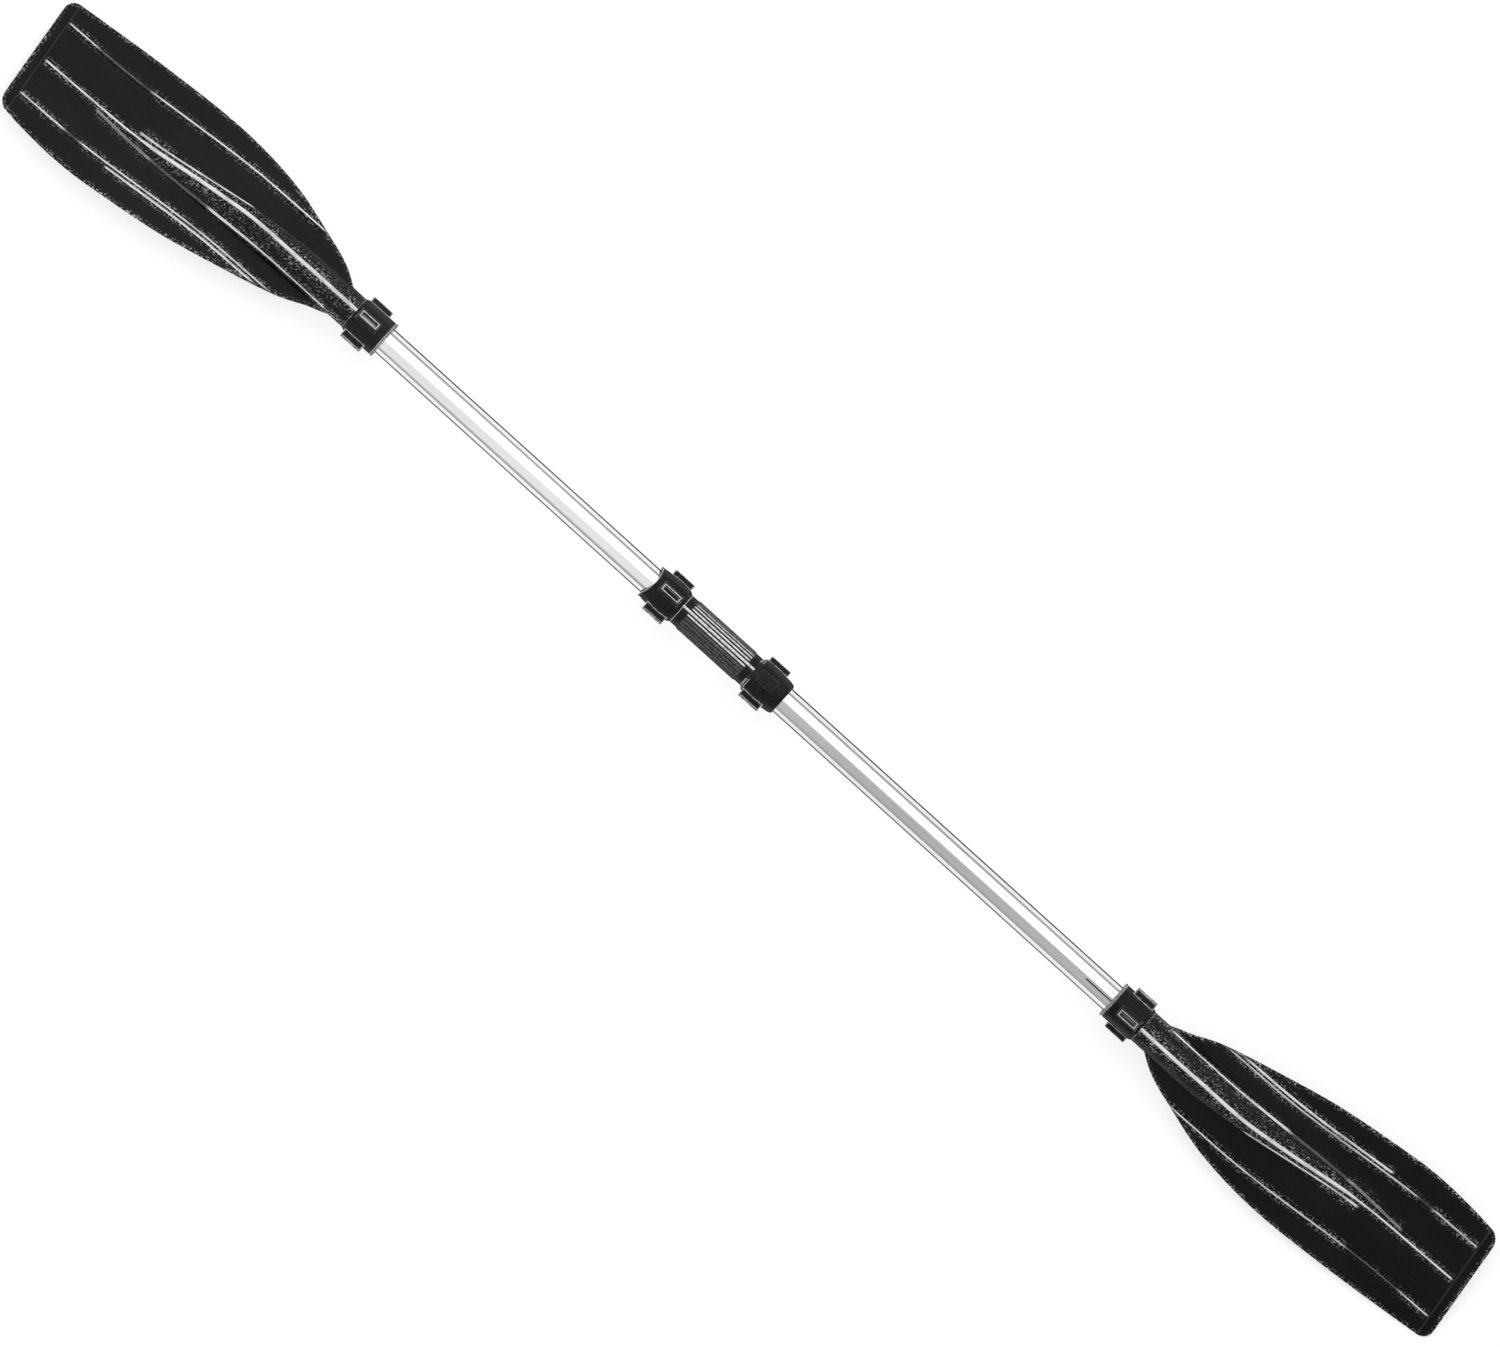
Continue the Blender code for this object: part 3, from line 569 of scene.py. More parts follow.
def blade_stations():
    """Distances from the rim, and how far the outline is drawn in there for the round corners of the tip."""
    straight = BLADE_TIP - TIP_CORNER_R
    border = BLADE_TIP - BORDER_INSET
    plain = np.concatenate([
        np.arange(NECK_START, 0.0560, 0.0010), np.arange(0.0560, 0.1300, 0.0014),
        np.arange(0.1300, 0.4600, 0.0024), np.arange(0.4600, border - 0.0030, 0.0010),
        np.arange(border - 0.0028, straight, 0.0004),
    ])
    angles = np.linspace(0.0, math.pi / 2, 25)
    stations = np.concatenate([plain, straight + TIP_CORNER_R * np.sin(angles)])
    inset = np.concatenate([np.zeros(len(plain)), TIP_CORNER_R * (1 - np.cos(angles))])
    return stations[:, None], inset[:, None]


def blade_columns():
    """Places across the blade, closer together over the spine and the two ribs."""
    centre = np.arange(-0.0216, 0.02161, 0.0006)
    rib = np.arange(-0.0032, 0.00321, 0.0004)
    gap = np.linspace(0.0232, 0.0412, 11)
    outer = np.arange(0.0508, 0.0830, 0.0018)
    one_side = np.concatenate([gap, RIB_SPACING + rib, outer])
    return np.concatenate([-one_side[::-1], centre, one_side])[None, :]


def make_blade():
    """Blade from the neck to the tip, as one closed skin with its bore."""
    s, inset = blade_stations()
    u = blade_columns()
    high_plate = along(LONG_EDGE, s) - inset
    low_plate = -along(SHORT_EDGE, s) + inset
    centre, crest = centre_y(s), crest_y(s)
    middle, half = spine_centre(s), spine_half(s)
    lean = crest - middle
    low = np.minimum(low_plate, np.where(s < 0.10, middle - half, 1.0))
    high = np.maximum(high_plate, np.where(s < 0.10, middle + half, -1.0))
    pinch = rib_y(1, s) - (centre + RIB_SPACING)
    y = centre + u + (crest - centre) * hat(u / 0.024) + pinch * hat((u - RIB_SPACING) / 0.020)
    # columns at set distances from each edge, and the rest between them
    steps = np.array([[0.0, 0.00006, 0.00026, 0.0007, 0.0013]])
    last = 0.0018
    y = np.concatenate([low + steps, np.clip(y, low + last, high - last), high - steps[:, ::-1]], axis=1)
    s = np.broadcast_to(s, y.shape)

    width = 0.5 * (along(LONG_EDGE, s) + along(SHORT_EDGE, s))
    bow = CAMBER * ((y - centre) / width) ** 2 * smooth(0.080, 0.200, s)
    sheet = plate_z(s) - bow
    inside = np.minimum(y - low_plate, high_plate - y)
    radius = PLATE_THICK / 2
    rounded = np.sqrt(np.clip(1 - np.clip(1 - inside / radius, 0, 1) ** 2, 0, 1))
    tip = np.sqrt(np.clip(1 - np.clip((s - BLADE_TIP + radius) / radius, 0, 1) ** 2, 0, 1))
    thick = radius * rounded * tip
    outside = 8.0 * np.maximum(0.0, -inside)
    plate_front, plate_back = sheet + thick - outside, sheet - thick + outside

    # the spine is a leaning ellipse, and sharper at its crest further out
    border = BLADE_TIP - BORDER_INSET
    top = spine_top(s)
    bottom = -NECK_R + (plate_z(s) + NECK_R) * smooth(NECK_END, 0.180, s)
    level, height = (top + bottom) / 2, (top - bottom) / 2
    reach, start = np.sqrt(half ** 2 + lean ** 2), np.arctan2(lean, half)
    across = (y - middle) / reach
    turn = np.arccos(np.clip(across, -1, 1))
    power = 1.0 + 0.55 * smooth(0.120, 0.300, s)
    beyond = 6.0 * np.maximum(0.0, np.abs(across) - 1) * reach
    spine_front = level + height * np.clip(np.sin(start + turn), 0, 1) ** power - beyond
    spine_back = level - height * np.clip(np.sin(turn - start), 0, 1) ** power + beyond
    spine_front = spine_front - 0.0030 * smooth(0.440, 0.475, s)
    fillet = (0.0008 + 0.0012 * smooth(0.060, 0.120, s)) * (1 - 0.9 * smooth(0.452, border, s))
    front = soft_max(spine_front, plate_front, fillet)
    back = -soft_max(-spine_back, -plate_back, fillet)
    # at the tip both sides close on the sheet
    front = sheet + (front - sheet) * np.where(tip < 1, tip, 1)
    back = sheet + (back - sheet) * np.where(tip < 1, tip, 1)

    end = 1 - smooth(border - 0.0006, border + 0.0010, s)
    bead = np.sqrt(np.clip(1 - ((y - crest) / CREST_R) ** 2, 0, 1))
    front = front + CREST_HEIGHT * bead * end
    edge_room = smooth(0.0004, 0.0040, np.minimum(y - low, high - y))
    for side in (-1, 1):
        away = np.abs(y - rib_y(side, s))
        ridge = 1 - smooth(RIB_TOP_HALF, RIB_FOOT_HALF, away)
        front = front + RIB_HEIGHT * ridge * edge_room * end * smooth(0.085, 0.100, s)
    band = np.sqrt(np.clip(1 - ((s - BLADE_TIP + BORDER_INSET) / BORDER_R) ** 2, 0, 1))
    front = front + BORDER_HEIGHT * band * smooth(0.0030, 0.0050, np.minimum(y - low, high - y))
    meet = (front[:, [0, -1]] + back[:, [0, -1]]) / 2
    front[:, [0, -1]] = meet
    back[:, [0, -1]] = meet
    slant = TIP_SLANT * smooth(0.300, BLADE_TIP, s) * (-y - 0.057)
    outer = np.concatenate([
        np.stack([s + slant, y, front], axis=2), np.stack([s + slant, y, back], axis=2)[:, -2:0:-1],
    ], axis=1)
    rings, count = outer.shape[:2]
    # the bore, from the neck inwards
    first = outer[0]
    inner = first.copy()
    inner[:, 1:] *= (BORE_R / np.linalg.norm(first[:, 1:], axis=1))[:, None]
    inner_rings = []
    bore = ((BLADE_BORE, 0.0), (BLADE_BORE, 0.5), (BLADE_BORE, 1.0), (0.0560, 1.0), (NECK_START, 1.0))
    for x, scale in bore:
        ring = inner.copy()
        ring[:, 0] = x
        ring[:, 1:] *= scale
        inner_rings.append(ring)
    points = np.concatenate([*inner_rings, outer.reshape(-1, 3)])
    faces = ring_faces(len(inner_rings) + rings, count)

    # how far each point is from the ridge lines, and how strong each line's painted highlight is there
    def both(values, fill):
        rows = np.concatenate([values, np.full_like(values, fill)[:, -2:0:-1]], axis=1).reshape(-1)
        return np.concatenate([np.full(len(inner_rings) * count, fill), rows])

    def lit(start, end, fades=()):
        strength = smooth(start, start + 0.008, s) * (1 - smooth(end - 0.004, end, s))
        for low_s, high_s, left in fades:
            fade = smooth(low_s - 0.006, low_s + 0.006, s) * (1 - smooth(high_s - 0.006, high_s + 0.006, s))
            strength = strength * (1 - (1 - left) * fade)
        return strength

    step = np.hypot(np.diff(y, axis=1), np.diff(front, axis=1))
    travel = np.concatenate([np.zeros((len(y), 1)), np.cumsum(step, axis=1)], axis=1)

    def over_skin(place):
        """Distance from a line, along the skin; the line is half as wide again, as its slope is steep."""
        start = np.array([np.interp(p, row, way) for p, row, way in zip(place[:, 0], y, travel)])
        return (travel - start[:, None]) / 1.5

    # each line's distance and strength; the crest's is twice as wide near the neck
    thick_crest = 1 + (1 - smooth(0.315, 0.345, s))
    lines = [
        ((y - crest) / thick_crest, lit(0.030, border - 0.002)),
        (over_skin(middle - half * 0.96), lit(0.196, 0.345)),
        (over_skin(middle + half * 0.96), lit(0.068, 0.400, [(0.234, 0.319, 0.10), (0.319, 0.400, 0.25)])),
        (y - rib_y(-1, s) + 0.0014, lit(0.100, border, [(0.362, 0.440, 0.14)]) * edge_room),
        (y - rib_y(1, s) + 0.0017, lit(0.100, border, [(0.388, 0.414, 0.14)]) * edge_room),
        (y - rib_y(1, s) - 0.0026, lit(0.100, 0.350) * edge_room),
    ]
    values = {}
    for key, chosen in (("a", lines[:3]), ("b", lines[3:])):
        values["line_" + key] = np.stack([both(d, 1.0) for d, _ in chosen], axis=1)
        values["lit_" + key] = np.stack([both(k, 0.0) for _, k in chosen], axis=1)
    to_rim = np.minimum(np.minimum(y - low, high - y), BLADE_TIP - s)
    to_border = both(s - border, 1.0)
    values["rim"] = np.stack([both(to_rim, 1.0), to_border, to_border], axis=1)
    return from_grid("blade", points, faces, values)


# ---------------------------------------------------------------- sockets


def ear(angle, top=EAR_TOP_R, length=EAR_LENGTH, width=EAR_TOP_WIDTH, bevel=0.0005):
    """Raised box on a collar, narrower at the top."""
    height = top - EAR_BASE_R
    body = box("ear", (length, width, height), (0, 0, EAR_BASE_R + height / 2), bevel, 2, EAR_BASE_WIDTH)
    return turned_about_shaft(body, angle, EAR_CENTRE)


def ear_cutters(angle, pocket=True, lip_r=None, floor=BORE_R - 0.004):
    """Opening in an ear down to floor, the wider pocket under it, and a shallow recess round the opening."""
    tools = [box("opening", (WINDOW_LENGTH, WINDOW_WIDTH, 0.020), (0, 0, floor + 0.010))]
    if pocket:
        height = POCKET_R - floor
        tools.append(box("pocket", (POCKET_LENGTH, POCKET_WIDTH, height), (0, 0, floor + height / 2)))
    if lip_r:
        size = (WINDOW_LENGTH + 0.0016, WINDOW_WIDTH + 0.0014, 0.004)
        tools.append(box("lip", size, (0, 0, lip_r - 0.0005 + 0.002)))
    return [turned_about_shaft(tool, angle, EAR_CENTRE) for tool in tools]


def mark_unhighlighted(obj, half_length, half_width, window):
    """Marks the top and the underside of a socket, round its windows, where the edges get no painted
    highlight.
    """
    co = np.empty((len(obj.data.vertices), 3))
    obj.data.vertices.foreach_get("co", co.ravel())
    along_x, across = np.abs(co[:, 0] - EAR_CENTRE), np.abs(co[:, 1])
    no_highlight = (along_x < half_length) & (across < half_width)
    if window:
        no_highlight &= (along_x > WINDOW_LENGTH / 2 + 0.0012) | (across > WINDOW_WIDTH / 2 + 0.0011)
    layer = obj.data.attributes.new("no_highlight", "FLOAT_VECTOR", "POINT")
    layer.data.foreach_set("vector", np.repeat(no_highlight[:, None], 3, axis=1).astype(np.float32).ravel())
    return obj


def make_collar():
    """Socket of a blade, from the rim to the neck: four boxes, of which two hold keys and two are windows."""
    body = lathe("collar", [
        (0.0000, 0.0170), (0.0000, 0.0217), (0.0004, 0.0221), (0.0016, RIM_R), (0.0021, 0.0220),
        (0.0024, 0.0213), (0.0034, 0.0213), (0.0039, COLLAR_R), (0.0120, COLLAR_R), (0.0270, COLLAR_R),
        (0.0385, COLLAR_R), (0.0405, 0.0213), (0.0420, 0.0206), (0.0436, 0.01985), (0.0444, 0.0196),
        (0.0444, BORE_R + 0.0010), (0.0440, BORE_R), (0.0200, BORE_R), (0.0008, BORE_R),
    ])
    combine(body, "UNION", [ear(math.radians(a)) for a in (0, 90, 180, 270)])
    cutters = []
    for angle in (0, 180):
        cutters += ear_cutters(math.radians(angle))
    for angle in (90, 270):
        cutters += ear_cutters(math.radians(angle), pocket=False, lip_r=EAR_TOP_R)
    return mark_unhighlighted(combine(body, "DIFFERENCE", cutters), EAR_LENGTH / 2 + 0.001, 0.0095, window=True)


def make_left_socket():
    """Connector's left socket, with its scalloped mouth; x from the mouth inwards."""
    end = EAR_CENTRE + EAR_LENGTH / 2
    body = lathe("socket", [
        (0.0000, 0.0172), (0.0000, MOUTH_R + 0.0006), (0.0010, MOUTH_R + 0.0004), (0.0030, MOUTH_R),
        (0.0070, 0.0206), (0.0140, BARREL_R - 0.0008), (0.0200, 0.0218), (EAR_CENTRE, BARREL_R),
        (0.0330, 0.0216), (end, BARREL_R - 0.0010), (end + 0.0020, 0.0202), (end + 0.0040, GRIP_R + 0.0003),
        (end + 0.0056, GRIP_R), (end + 0.0056, BORE_R + 0.0008), (end + 0.0050, BORE_R), (0.0200, BORE_R),
        (0.0008, BORE_R),
    ])
    tools = [ear(math.radians(a)) for a in (0, 180)]
    tools += [ear(math.radians(a), top=EAR_TOP_R - 0.0020) for a in (90, 270)]
    combine(body, "UNION", tools)
    middle = MOUTH_SCALLOP_DEPTH - MOUTH_SCALLOP_R
    cutters = [rod("scallop", MOUTH_SCALLOP_R, (middle, 0, -0.04), (middle, 0, 0.04), 160)]
    for angle in (0, 180):
        cutters += ear_cutters(math.radians(angle))
    for angle in (90, 270):
        cutters += ear_cutters(math.radians(angle), False, EAR_TOP_R - 0.0020, RECESS_FLOOR_R)
    return mark_unhighlighted(combine(body, "DIFFERENCE", cutters), EAR_LENGTH / 2 + 0.001, 0.0095, window=True)


def make_right_socket():
    """Connector's right socket, rounded at its end, with two plain pads; x from the end inwards."""
    end = EAR_CENTRE + EAR_LENGTH / 2
    body = lathe("socket", [
        (0.0000, 0.0170), (0.0000, END_ROUND_R), (0.0008, 0.0187), (0.0020, 0.0195), (0.0035, MOUTH_R),
        (0.0065, 0.0206), (0.0100, BARREL_R - 0.0010), (0.0170, 0.0216), (EAR_CENTRE, BARREL_R),
        (0.0340, 0.0218), (end + 0.0020, BARREL_R - 0.0006), (end + 0.0031, 0.0200),
        (end + 0.0040, GRIP_R + 0.0003), (end + 0.0056, GRIP_R), (end + 0.0056, BORE_R + 0.0008),
        (end + 0.0050, BORE_R), (0.0200, BORE_R), (0.0008, BORE_R),
    ])
    tools = [ear(math.radians(a)) for a in (0, 180)]
    tools += [ear(math.radians(a), PAD_TOP_R, PAD_LENGTH, PAD_WIDTH, 0.0014) for a in (90, 270)]
    combine(body, "UNION", tools)
    cutters = []
    for angle in (0, 180):
        cutters += ear_cutters(math.radians(angle))
    return mark_unhighlighted(combine(body, "DIFFERENCE", cutters), 0.050, 0.0115, window=False)


def make_grip():
    """Fluted middle of the connector, with the longer ribs of the mould seams, and a bore from each end."""
    end = CONNECTOR_HALF - EAR_CENTRE - EAR_LENGTH / 2 - 0.0042
    count = GRIP_FLUTES * 12
    angles = math.pi / 2 + math.tau * np.arange(count) / count
    pitch = math.tau / GRIP_FLUTES
    nearest = np.round((angles - math.pi / 2) / pitch)
    off = GRIP_R * np.abs(angles - math.pi / 2 - nearest * pitch)
    on_seam = np.mod(nearest, GRIP_FLUTES // 2) == 0
    stops = np.concatenate([
        np.linspace(-end, -0.0535, 2), np.linspace(-0.0525, -0.0500, 6), np.linspace(-0.0480, -0.0425, 4),
        np.linspace(-0.0418, -0.0395, 6), np.linspace(-0.0360, 0.0360, 16), np.linspace(0.0395, 0.0418, 6),
        np.linspace(0.0425, 0.0480, 4), np.linspace(0.0500, 0.0525, 6), np.linspace(0.0535, end, 2),
    ])
    stops = stops[np.abs(stops) <= end + 1e-9]
    rings = []

    def ring(x, radius):
        radius = np.broadcast_to(radius, (count,))
        return np.stack([np.full(count, x), radius * np.cos(angles), radius * np.sin(angles)], axis=1)

    def bead(radius, half, x):
        size = radius * np.sqrt(max(0.0, 1 - (max(0.0, abs(x) - half + 2 * radius) / (2 * radius)) ** 2))
        return np.sqrt(np.clip(size ** 2 - off ** 2, 0, None))

    # painted highlights on the crowns of the flutes beside the two seams, brightest next to them
    flute_highlight = np.array([1.0, 1.0, 0.08, 0.04, 0.02, 0.05, 0.02, 0.03, 0.02, 0.05, 0.1, 0.65, 0.9, 1.0])
    crown = flute_highlight[np.mod(nearest, GRIP_FLUTES // 2).astype(int)] * (off < np.where(on_seam, 0.0012, 0.0008))
    highlight_paint = [np.zeros(count)] * 3
    rings += [ring(-WEB_HALF, 0.0), ring(-WEB_HALF, BORE_R), ring(-end, BORE_R)]
    for x in stops:
        height = np.where(on_seam, bead(SEAM_RIB_R, SEAM_RIB_HALF, x), bead(FLUTE_R, FLUTE_HALF, x))
        rings.append(ring(x, GRIP_R + height))
        highlight_paint.append(crown * (height > 0.0004))
    rings += [ring(end, BORE_R), ring(WEB_HALF, BORE_R), ring(WEB_HALF, 0.0)]
    highlight_paint += [np.zeros(count)] * 3
    values = {"highlight_paint": np.repeat(np.concatenate(highlight_paint)[:, None], 3, axis=1)}
    return from_grid("grip", np.round(np.concatenate(rings), 9), ring_faces(len(rings), count), values)


# ---------------------------------------------------------------- small parts


def make_shaft(inner_turn, outer_turn, length, slit):
    """Tube from x = 0 at its connector end, with its edges broken and a pair of clip holes at each end."""
    inner, burr = SHAFT_R - SHAFT_WALL, 0.0003
    stops = np.linspace(0.03, length - 0.03, 9)
    tube = lathe("tube", [
        (0, inner + burr), (0, SHAFT_R - burr), (burr, SHAFT_R), *[(x, SHAFT_R) for x in stops],
        (length - burr, SHAFT_R), (length, SHAFT_R - burr), (length, inner + burr), (length - burr, inner),
        *[(x, inner) for x in stops[::-1]], (burr, inner),
    ], 112)
    inner_head = CONNECTOR_HALF - EAR_CENTRE - WEB_HALF - SHAFT_END_GAP
    outer_head = length - (BLADE_BORE - SHAFT_END_GAP - EAR_CENTRE)
    reach = SHAFT_R + 0.004
    cutters = []
    for place, turn in ((inner_head, inner_turn), (outer_head, outer_turn)):
        across = Vector((0, math.cos(turn) * reach, math.sin(turn) * reach))
        middle = Vector((place, 0, 0))
        cutters.append(rod("holes", HEAD_HOLE_R, middle - across, middle + across))
    if slit:
        slit_length = SLIT_OUTSIDE + BLADE_BORE
        centre = (length - slit_length / 2 + 0.002, 0, SHAFT_R)
        cutter = box("slit", (slit_length, SLIT_WIDTH, 0.006), centre)
        cutter.data.transform(Matrix.Rotation(outer_turn, 4, "X"))
        cutters.append(cutter)
    return combine(tube, "DIFFERENCE", cutters)


def make_key():
    """Release key along +Z: a crowned stem with three finger lines, on a wider foot."""
    stem = (WINDOW_LENGTH - 2 * GAP, WINDOW_WIDTH - 2 * GAP)
    low = KEY_FOOT_R + KEY_FOOT_THICK / 2
    foot_size = (POCKET_LENGTH - 2 * GAP, POCKET_WIDTH - 2 * GAP, KEY_FOOT_THICK)
    foot = box("foot", foot_size, (0, 0, low), 0.0002, 2)
    bm = bmesh.new()
    bmesh.ops.create_cube(bm, size=1.0)
    cuts = [e for e in bm.edges if abs(e.verts[0].co.x - e.verts[1].co.x) > 0.5]
    bmesh.ops.subdivide_edges(bm, edges=cuts, cuts=40, use_grid_fill=True)
    for vert in bm.verts:
        x, upper = vert.co.x, vert.co.z > 0
        crown = 0.0006 * (1 - (2 * x) ** 4)
        groove = 0.00035 * sum(math.exp(-((x - at) / 0.022) ** 2) for at in (-0.16, 0.0, 0.16))
        top = KEY_TOP_R - 0.0006 + crown - groove
        vert.co = Vector((x * stem[0], vert.co.y * stem[1], top if upper else low))
    rounded = [e for e in bm.edges if all(v.co.z > low + 1e-4 for v in e.verts)
               and all(abs(v.co.y) > stem[1] / 2 - 1e-6 for v in e.verts)
               and e.verts[0].co.y * e.verts[1].co.y > 0 and len(e.link_faces) == 2
               and e.calc_face_angle(0) > 1.0]
    bmesh.ops.bevel(bm, geom=rounded, offset=0.0005, segments=3, affect="EDGES", profile=0.5)
    return combine(foot, "UNION", [from_bmesh("stem", bm)])


def make_clip():
    """V-shaped spring clip: x grows towards its bend, the domed heads stand along +Y and -Y."""
    t = np.linspace(0.12, 1.0, 9)
    leg_x = CLIP_TAIL + (CLIP_LENGTH - CLIP_TAIL) * t
    leg_y = CLIP_LEG_R + (CLIP_BEND_R - CLIP_LEG_R) * smooth(-0.15, 1.1, t)
    leg = [(-CLIP_TAIL, CLIP_LEG_R), (CLIP_TAIL, CLIP_LEG_R), *zip(leg_x.tolist(), leg_y.tolist())]
    leg[-1] = (CLIP_LENGTH, CLIP_BEND_R)
    turn = np.linspace(0, math.pi, 15)[1:-1]
    bend = [(CLIP_LENGTH + CLIP_BEND_R * math.sin(a), CLIP_BEND_R * math.cos(a)) for a in turn]
    route = leg + bend + [(x, -y) for x, y in reversed(leg)]
    bm = bmesh.new()
    rows = [[bm.verts.new((x, y, z)) for z in (-CLIP_WIDTH / 2, 0.0, CLIP_WIDTH / 2)] for x, y in route]
    for first, second in zip(rows, rows[1:]):
        for i in range(2):
            bm.faces.new((first[i], first[i + 1], second[i + 1], second[i]))
    clip = from_bmesh("clip", bm)
    leaf = clip.modifiers.new("leaf", "SOLIDIFY")
    leaf.thickness = CLIP_THICK
    leaf.offset = 0.0
    leaf.use_even_offset = True
    dome = 0.0014
    profile = [(CLIP_LEG_R - 0.0001, 0.0), (CLIP_LEG_R - 0.0001, HEAD_R)]
    for a in np.linspace(0, math.pi / 2, 9):
        profile.append((HEAD_TOP_R - dome + dome * math.sin(a), HEAD_R * (1 - 0.55 * (1 - math.cos(a)))))
    profile.append((HEAD_TOP_R + 0.0001, 0.0))
    heads = []
    for side in (-1, 1):
        head = lathe("head", profile, 40)
        head.data.transform(Matrix.Rotation(side * math.pi / 2, 4, "Z"))
        heads.append(head)
    return combine(clip, "UNION", heads)


def make_plug():
    """Foam plug that floats the tube: rounded, slightly dished ends and an uneven skin."""
    edge = 0.0022
    flat_r, dish_r = PLUG_R - edge, 0.0060
    near, far = np.linspace(0.2, math.pi / 2, 6), np.linspace(0, 1.37, 6)
    skin = np.linspace(0.004, PLUG_LENGTH - 0.004, 9)
    return lathe("plug", [
        (0.0008, 0.0), (0.0006, dish_r), (0.0000, 0.0105),
        *[(edge - edge * math.cos(a), flat_r + edge * math.sin(a)) for a in near],
        *[(x, PLUG_R - 0.0002 * math.sin(9 * x / PLUG_LENGTH) ** 2) for x in skin],
        *[(PLUG_LENGTH - edge + edge * math.sin(a), flat_r + edge * math.cos(a)) for a in far],
        (PLUG_LENGTH, 0.0105), (PLUG_LENGTH - 0.0006, dish_r), (PLUG_LENGTH - 0.0008, 0.0),
    ], 48)


# ---------------------------------------------------------------- the paddle


def feather(body_key):
    """Angle round the shaft at which a socket's upper key stands, from the joint that it is pressed along."""
    joint = next(j for j in frame["joints"] if j["child"] == body_key)
    return math.atan2(-joint["axis"][2], -joint["axis"][1])


def build_paddle():
    blade_black = moulded_plastic("blade_plastic", BLADE_TONE, ridges=True)
    socket_black = moulded_plastic("socket_plastic", SOCKET_TONE, edge_highlight=EDGE_HIGHLIGHT)
    grip_black = moulded_plastic("grip_plastic", SOCKET_TONE, edge_highlight=GRIP_EDGE, painted_flute_highlights=True)
    key_black = moulded_plastic("key_plastic", KEY_TONE, edge_highlight=EDGE_HIGHLIGHT)
    aluminium, steel, foam = drawn_aluminium(), brushed_steel(), closed_cell_foam()

    sockets = {
        "left_blade": (LEFT_RIM_X, -1),
        "connector_left": (CONNECTOR_X - CONNECTOR_HALF, 1),
        "connector_right": (CONNECTOR_X + CONNECTOR_HALF, -1),
        "right_blade": (RIGHT_RIM_X, 1),
    }
    turns = {name: feather(name + "_key_upper") for name in sockets}
    frames = {name: socket_frame(x, way, turns[name]) for name, (x, way) in sockets.items()}

    blade, collar = make_blade(), make_collar()
    for side in ("left_blade", "right_blade"):
        add_piece(side + "_skin", blade, frames[side], side, side, blade_black, 60.0)
        add_piece(side + "_collar", collar, frames[side], side, side, socket_black, weighted=True)
    left_socket, right_socket, grip = make_left_socket(), make_right_socket(), make_grip()
    middle = Matrix.Translation((CONNECTOR_X, AXIS_Y, AXIS_Z))
    middle = middle @ Matrix.Rotation(turns["connector_left"], 4, "X")
    for name, source, placed, material in (
        ("connector_left_socket", left_socket, frames["connector_left"], socket_black),
        ("connector_right_socket", right_socket, frames["connector_right"], socket_black),
        ("connector_grip", grip, middle, grip_black),
    ):
        add_piece(name, source, placed, "connector", "centre_connector", material, 38.0, weighted=True)

    inner_end = WEB_HALF + SHAFT_END_GAP
    inner_turn, outer_turn = turns["connector_right"], turns["right_blade"]
    left_length = CONNECTOR_X - LEFT_RIM_X + BLADE_BORE - SHAFT_END_GAP - inner_end
    right_length = RIGHT_RIM_X - CONNECTOR_X + BLADE_BORE - SHAFT_END_GAP - inner_end
    left_tube = make_shaft(-turns["connector_left"], -turns["left_blade"], left_length, slit=False)
    right_tube = make_shaft(inner_turn, outer_turn, right_length, slit=True)
    half_turn = Matrix.Rotation(math.pi, 4, "Z")
    left_place = Matrix.Translation((CONNECTOR_X - inner_end, AXIS_Y, AXIS_Z)) @ half_turn
    right_place = Matrix.Translation((CONNECTOR_X + inner_end, AXIS_Y, AXIS_Z))
    add_piece("left_tube", left_tube, left_place, "left_shaft", "left_shaft", aluminium)
    add_piece("right_tube", right_tube, right_place, "right_shaft", "right_shaft", aluminium)

    key, clip, plug = make_key(), make_clip(), make_plug()
    for name, placed in frames.items():
        heads = placed @ Matrix.Translation((EAR_CENTRE, 0, 0))
        tube = "left_shaft" if "left" in name else "right_shaft"
        for side, towards in (("upper", 1), ("lower", -1)):
            node = f"{name}_key_{side}"
            quarter = Matrix.Rotation(-towards * math.copysign(math.pi / 2, placed[0][0]), 4, "X")
            add_piece(node + "_cap", key, heads @ quarter, node, node, key_black, 40.0)
        add_piece(name + "_spring", clip, heads, tube, name + "_clip", steel, 40.0)
        plug_end = heads @ Matrix.Translation((-PLUG_FROM_HEAD - PLUG_LENGTH, 0, 0))
        float_plug = add_piece(name + "_float", plug, plug_end, tube, name + "_plug", foam, 50.0)
    for bench in (blade, collar, left_socket, right_socket, grip, left_tube, right_tube, key, clip, plug):
        bpy.data.objects.remove(bench, do_unlink=True)


# ---------------------------------------------------------------- studio


def add_softbox(name, place, target, size, radiance):
    """Rectangular light with an even radiance, aimed at target; the camera doesn't see it."""
    light = bpy.data.lights.new(name, "AREA")
    light.shape = "RECTANGLE"
    light.size, light.size_y = size
    light.energy = math.pi * size[0] * size[1] * radiance
    obj = bpy.data.objects.new(name, light)
    bpy.context.scene.collection.objects.link(obj)
    away = Vector(place) - Vector(target)
    side = Vector((1, 0, 0))
    up = away.cross(side).normalized()
    side = up.cross(away).normalized()
    basis = Matrix((side, up, away.normalized())).transposed().to_4x4()
    obj.matrix_world = Matrix.Translation(place) @ basis
    obj.visible_camera = False
    return obj


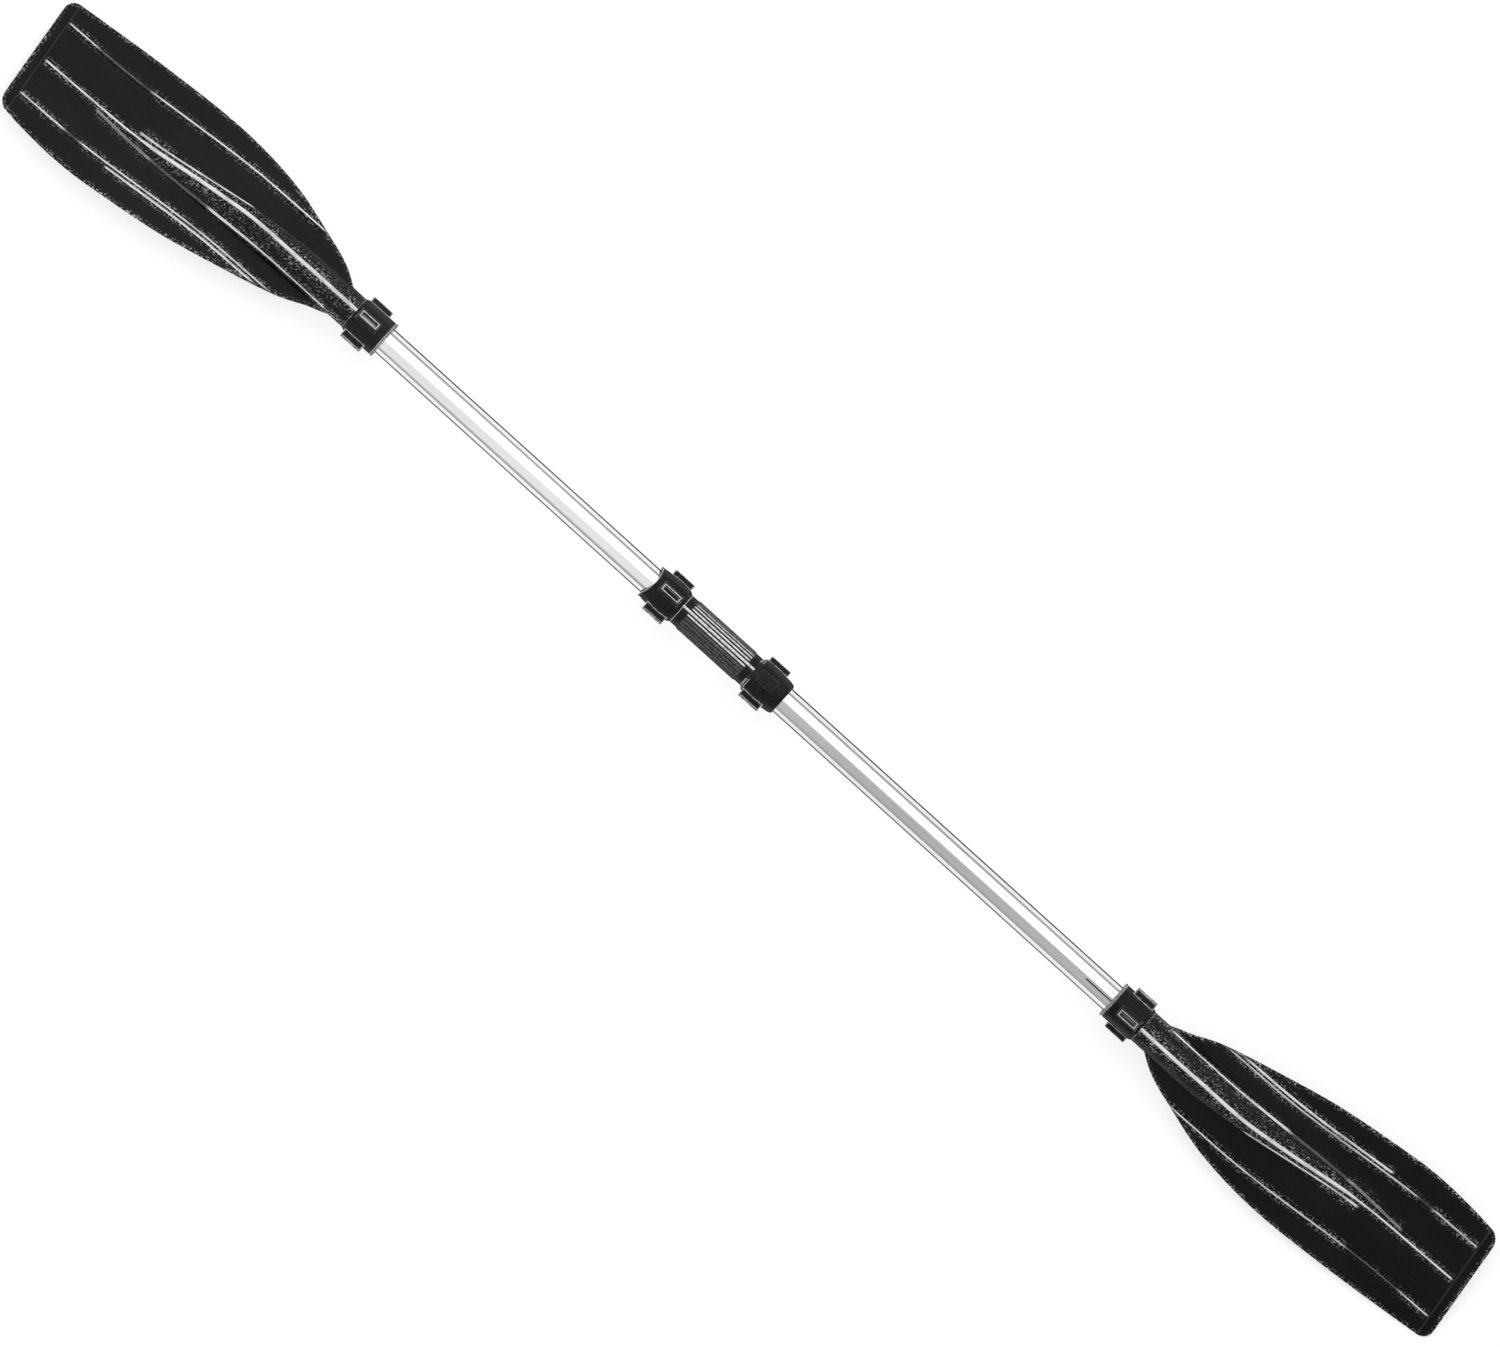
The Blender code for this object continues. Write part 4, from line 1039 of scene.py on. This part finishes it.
def build_studio():
    scene = bpy.context.scene
    scene.view_settings.view_transform = "Standard"
    scene.view_settings.look = "None"
    world = bpy.data.worlds.new("studio")
    scene.world = world
    world.use_nodes = True
    background = world.node_tree.nodes["Background"]
    background.inputs["Color"].default_value = (1.0, 1.0, 1.0, 1.0)
    background.inputs["Strength"].default_value = SKY

    s = Shader("pale_floor")
    cloud = s.noise(0.8, 3.0, 0.5)
    fine = s.noise(140.0, 2.0, 0.5)
    colour = s.blend(cloud, grey(0.62, 0.004), grey(0.66, 0.002))
    s.finish(colour, 0.65, s.bump(fine, 0.03, 0.0003), specular=0.2, **{
        "Emission Color": grey(1.0), "Emission Strength": FLOOR_GLOW,
    })
    bm = bmesh.new()
    bmesh.ops.create_grid(bm, x_segments=1, y_segments=1, size=30.0)
    floor = from_bmesh("floor", bm)
    floor.data.materials.append(s.material)
    floor.location.z = -0.0005

    # one row of softboxes over each half of the paddle, dimmer on the right
    for side, x, bright, near in SOFTBOX_ROWS:
        add_softbox("overhead_" + side, (x, 0.84, 2.70), (x, 0.0, 0), (1.90, 1.90), bright)
        add_softbox("far_" + side, (x, 2.20, 1.72), (x, 0.0, 0), (1.90, 1.34), bright)
        add_softbox("near_" + side, (x, -1.20, 1.78), (x, 0.0, 0), (1.90, 2.60), near)

    # a dark card on the floor under the shaft, which shows only in reflections: a painted dark reflection
    # that stands in for shade along the tubes' edges
    dark = Shader("reflected_shade_card")
    dark.finish(dark.blend(dark.noise(40.0), grey(0.004), grey(0.008)), 0.9, specular=0.0)
    bm = bmesh.new()
    bmesh.ops.create_grid(bm, x_segments=1, y_segments=1, size=1.0)
    bmesh.ops.scale(bm, verts=bm.verts, vec=(CARD_HALF_LENGTH, CARD_HALF_WIDTH, 1.0))
    card = from_bmesh("card", bm)
    card.data.materials.append(dark.material)
    card.location = (0.0, AXIS_Y + CARD_SHIFT, 0.0001)
    card.visible_camera = False
    card.visible_diffuse = False
    card.visible_shadow = False
    card.visible_transmission = False


def build_camera():
    """Looks straight down on the ribbed side, with the shaft running from upper left to lower right."""
    distance, lens, sensor = 20.0, 450.7, 36.0
    data = bpy.data.cameras.new("camera")
    data.lens = lens
    data.sensor_width = sensor
    data.clip_end = 100.0
    camera = bpy.data.objects.new("camera", data)
    bpy.context.scene.collection.objects.link(camera)
    camera.location = (0.0036, -0.0022, AXIS_Z + distance)
    camera.rotation_euler = (0.0, 0.0, math.radians(42.1))
    bpy.context.scene.camera = camera


build_paddle()
build_studio()
build_camera()
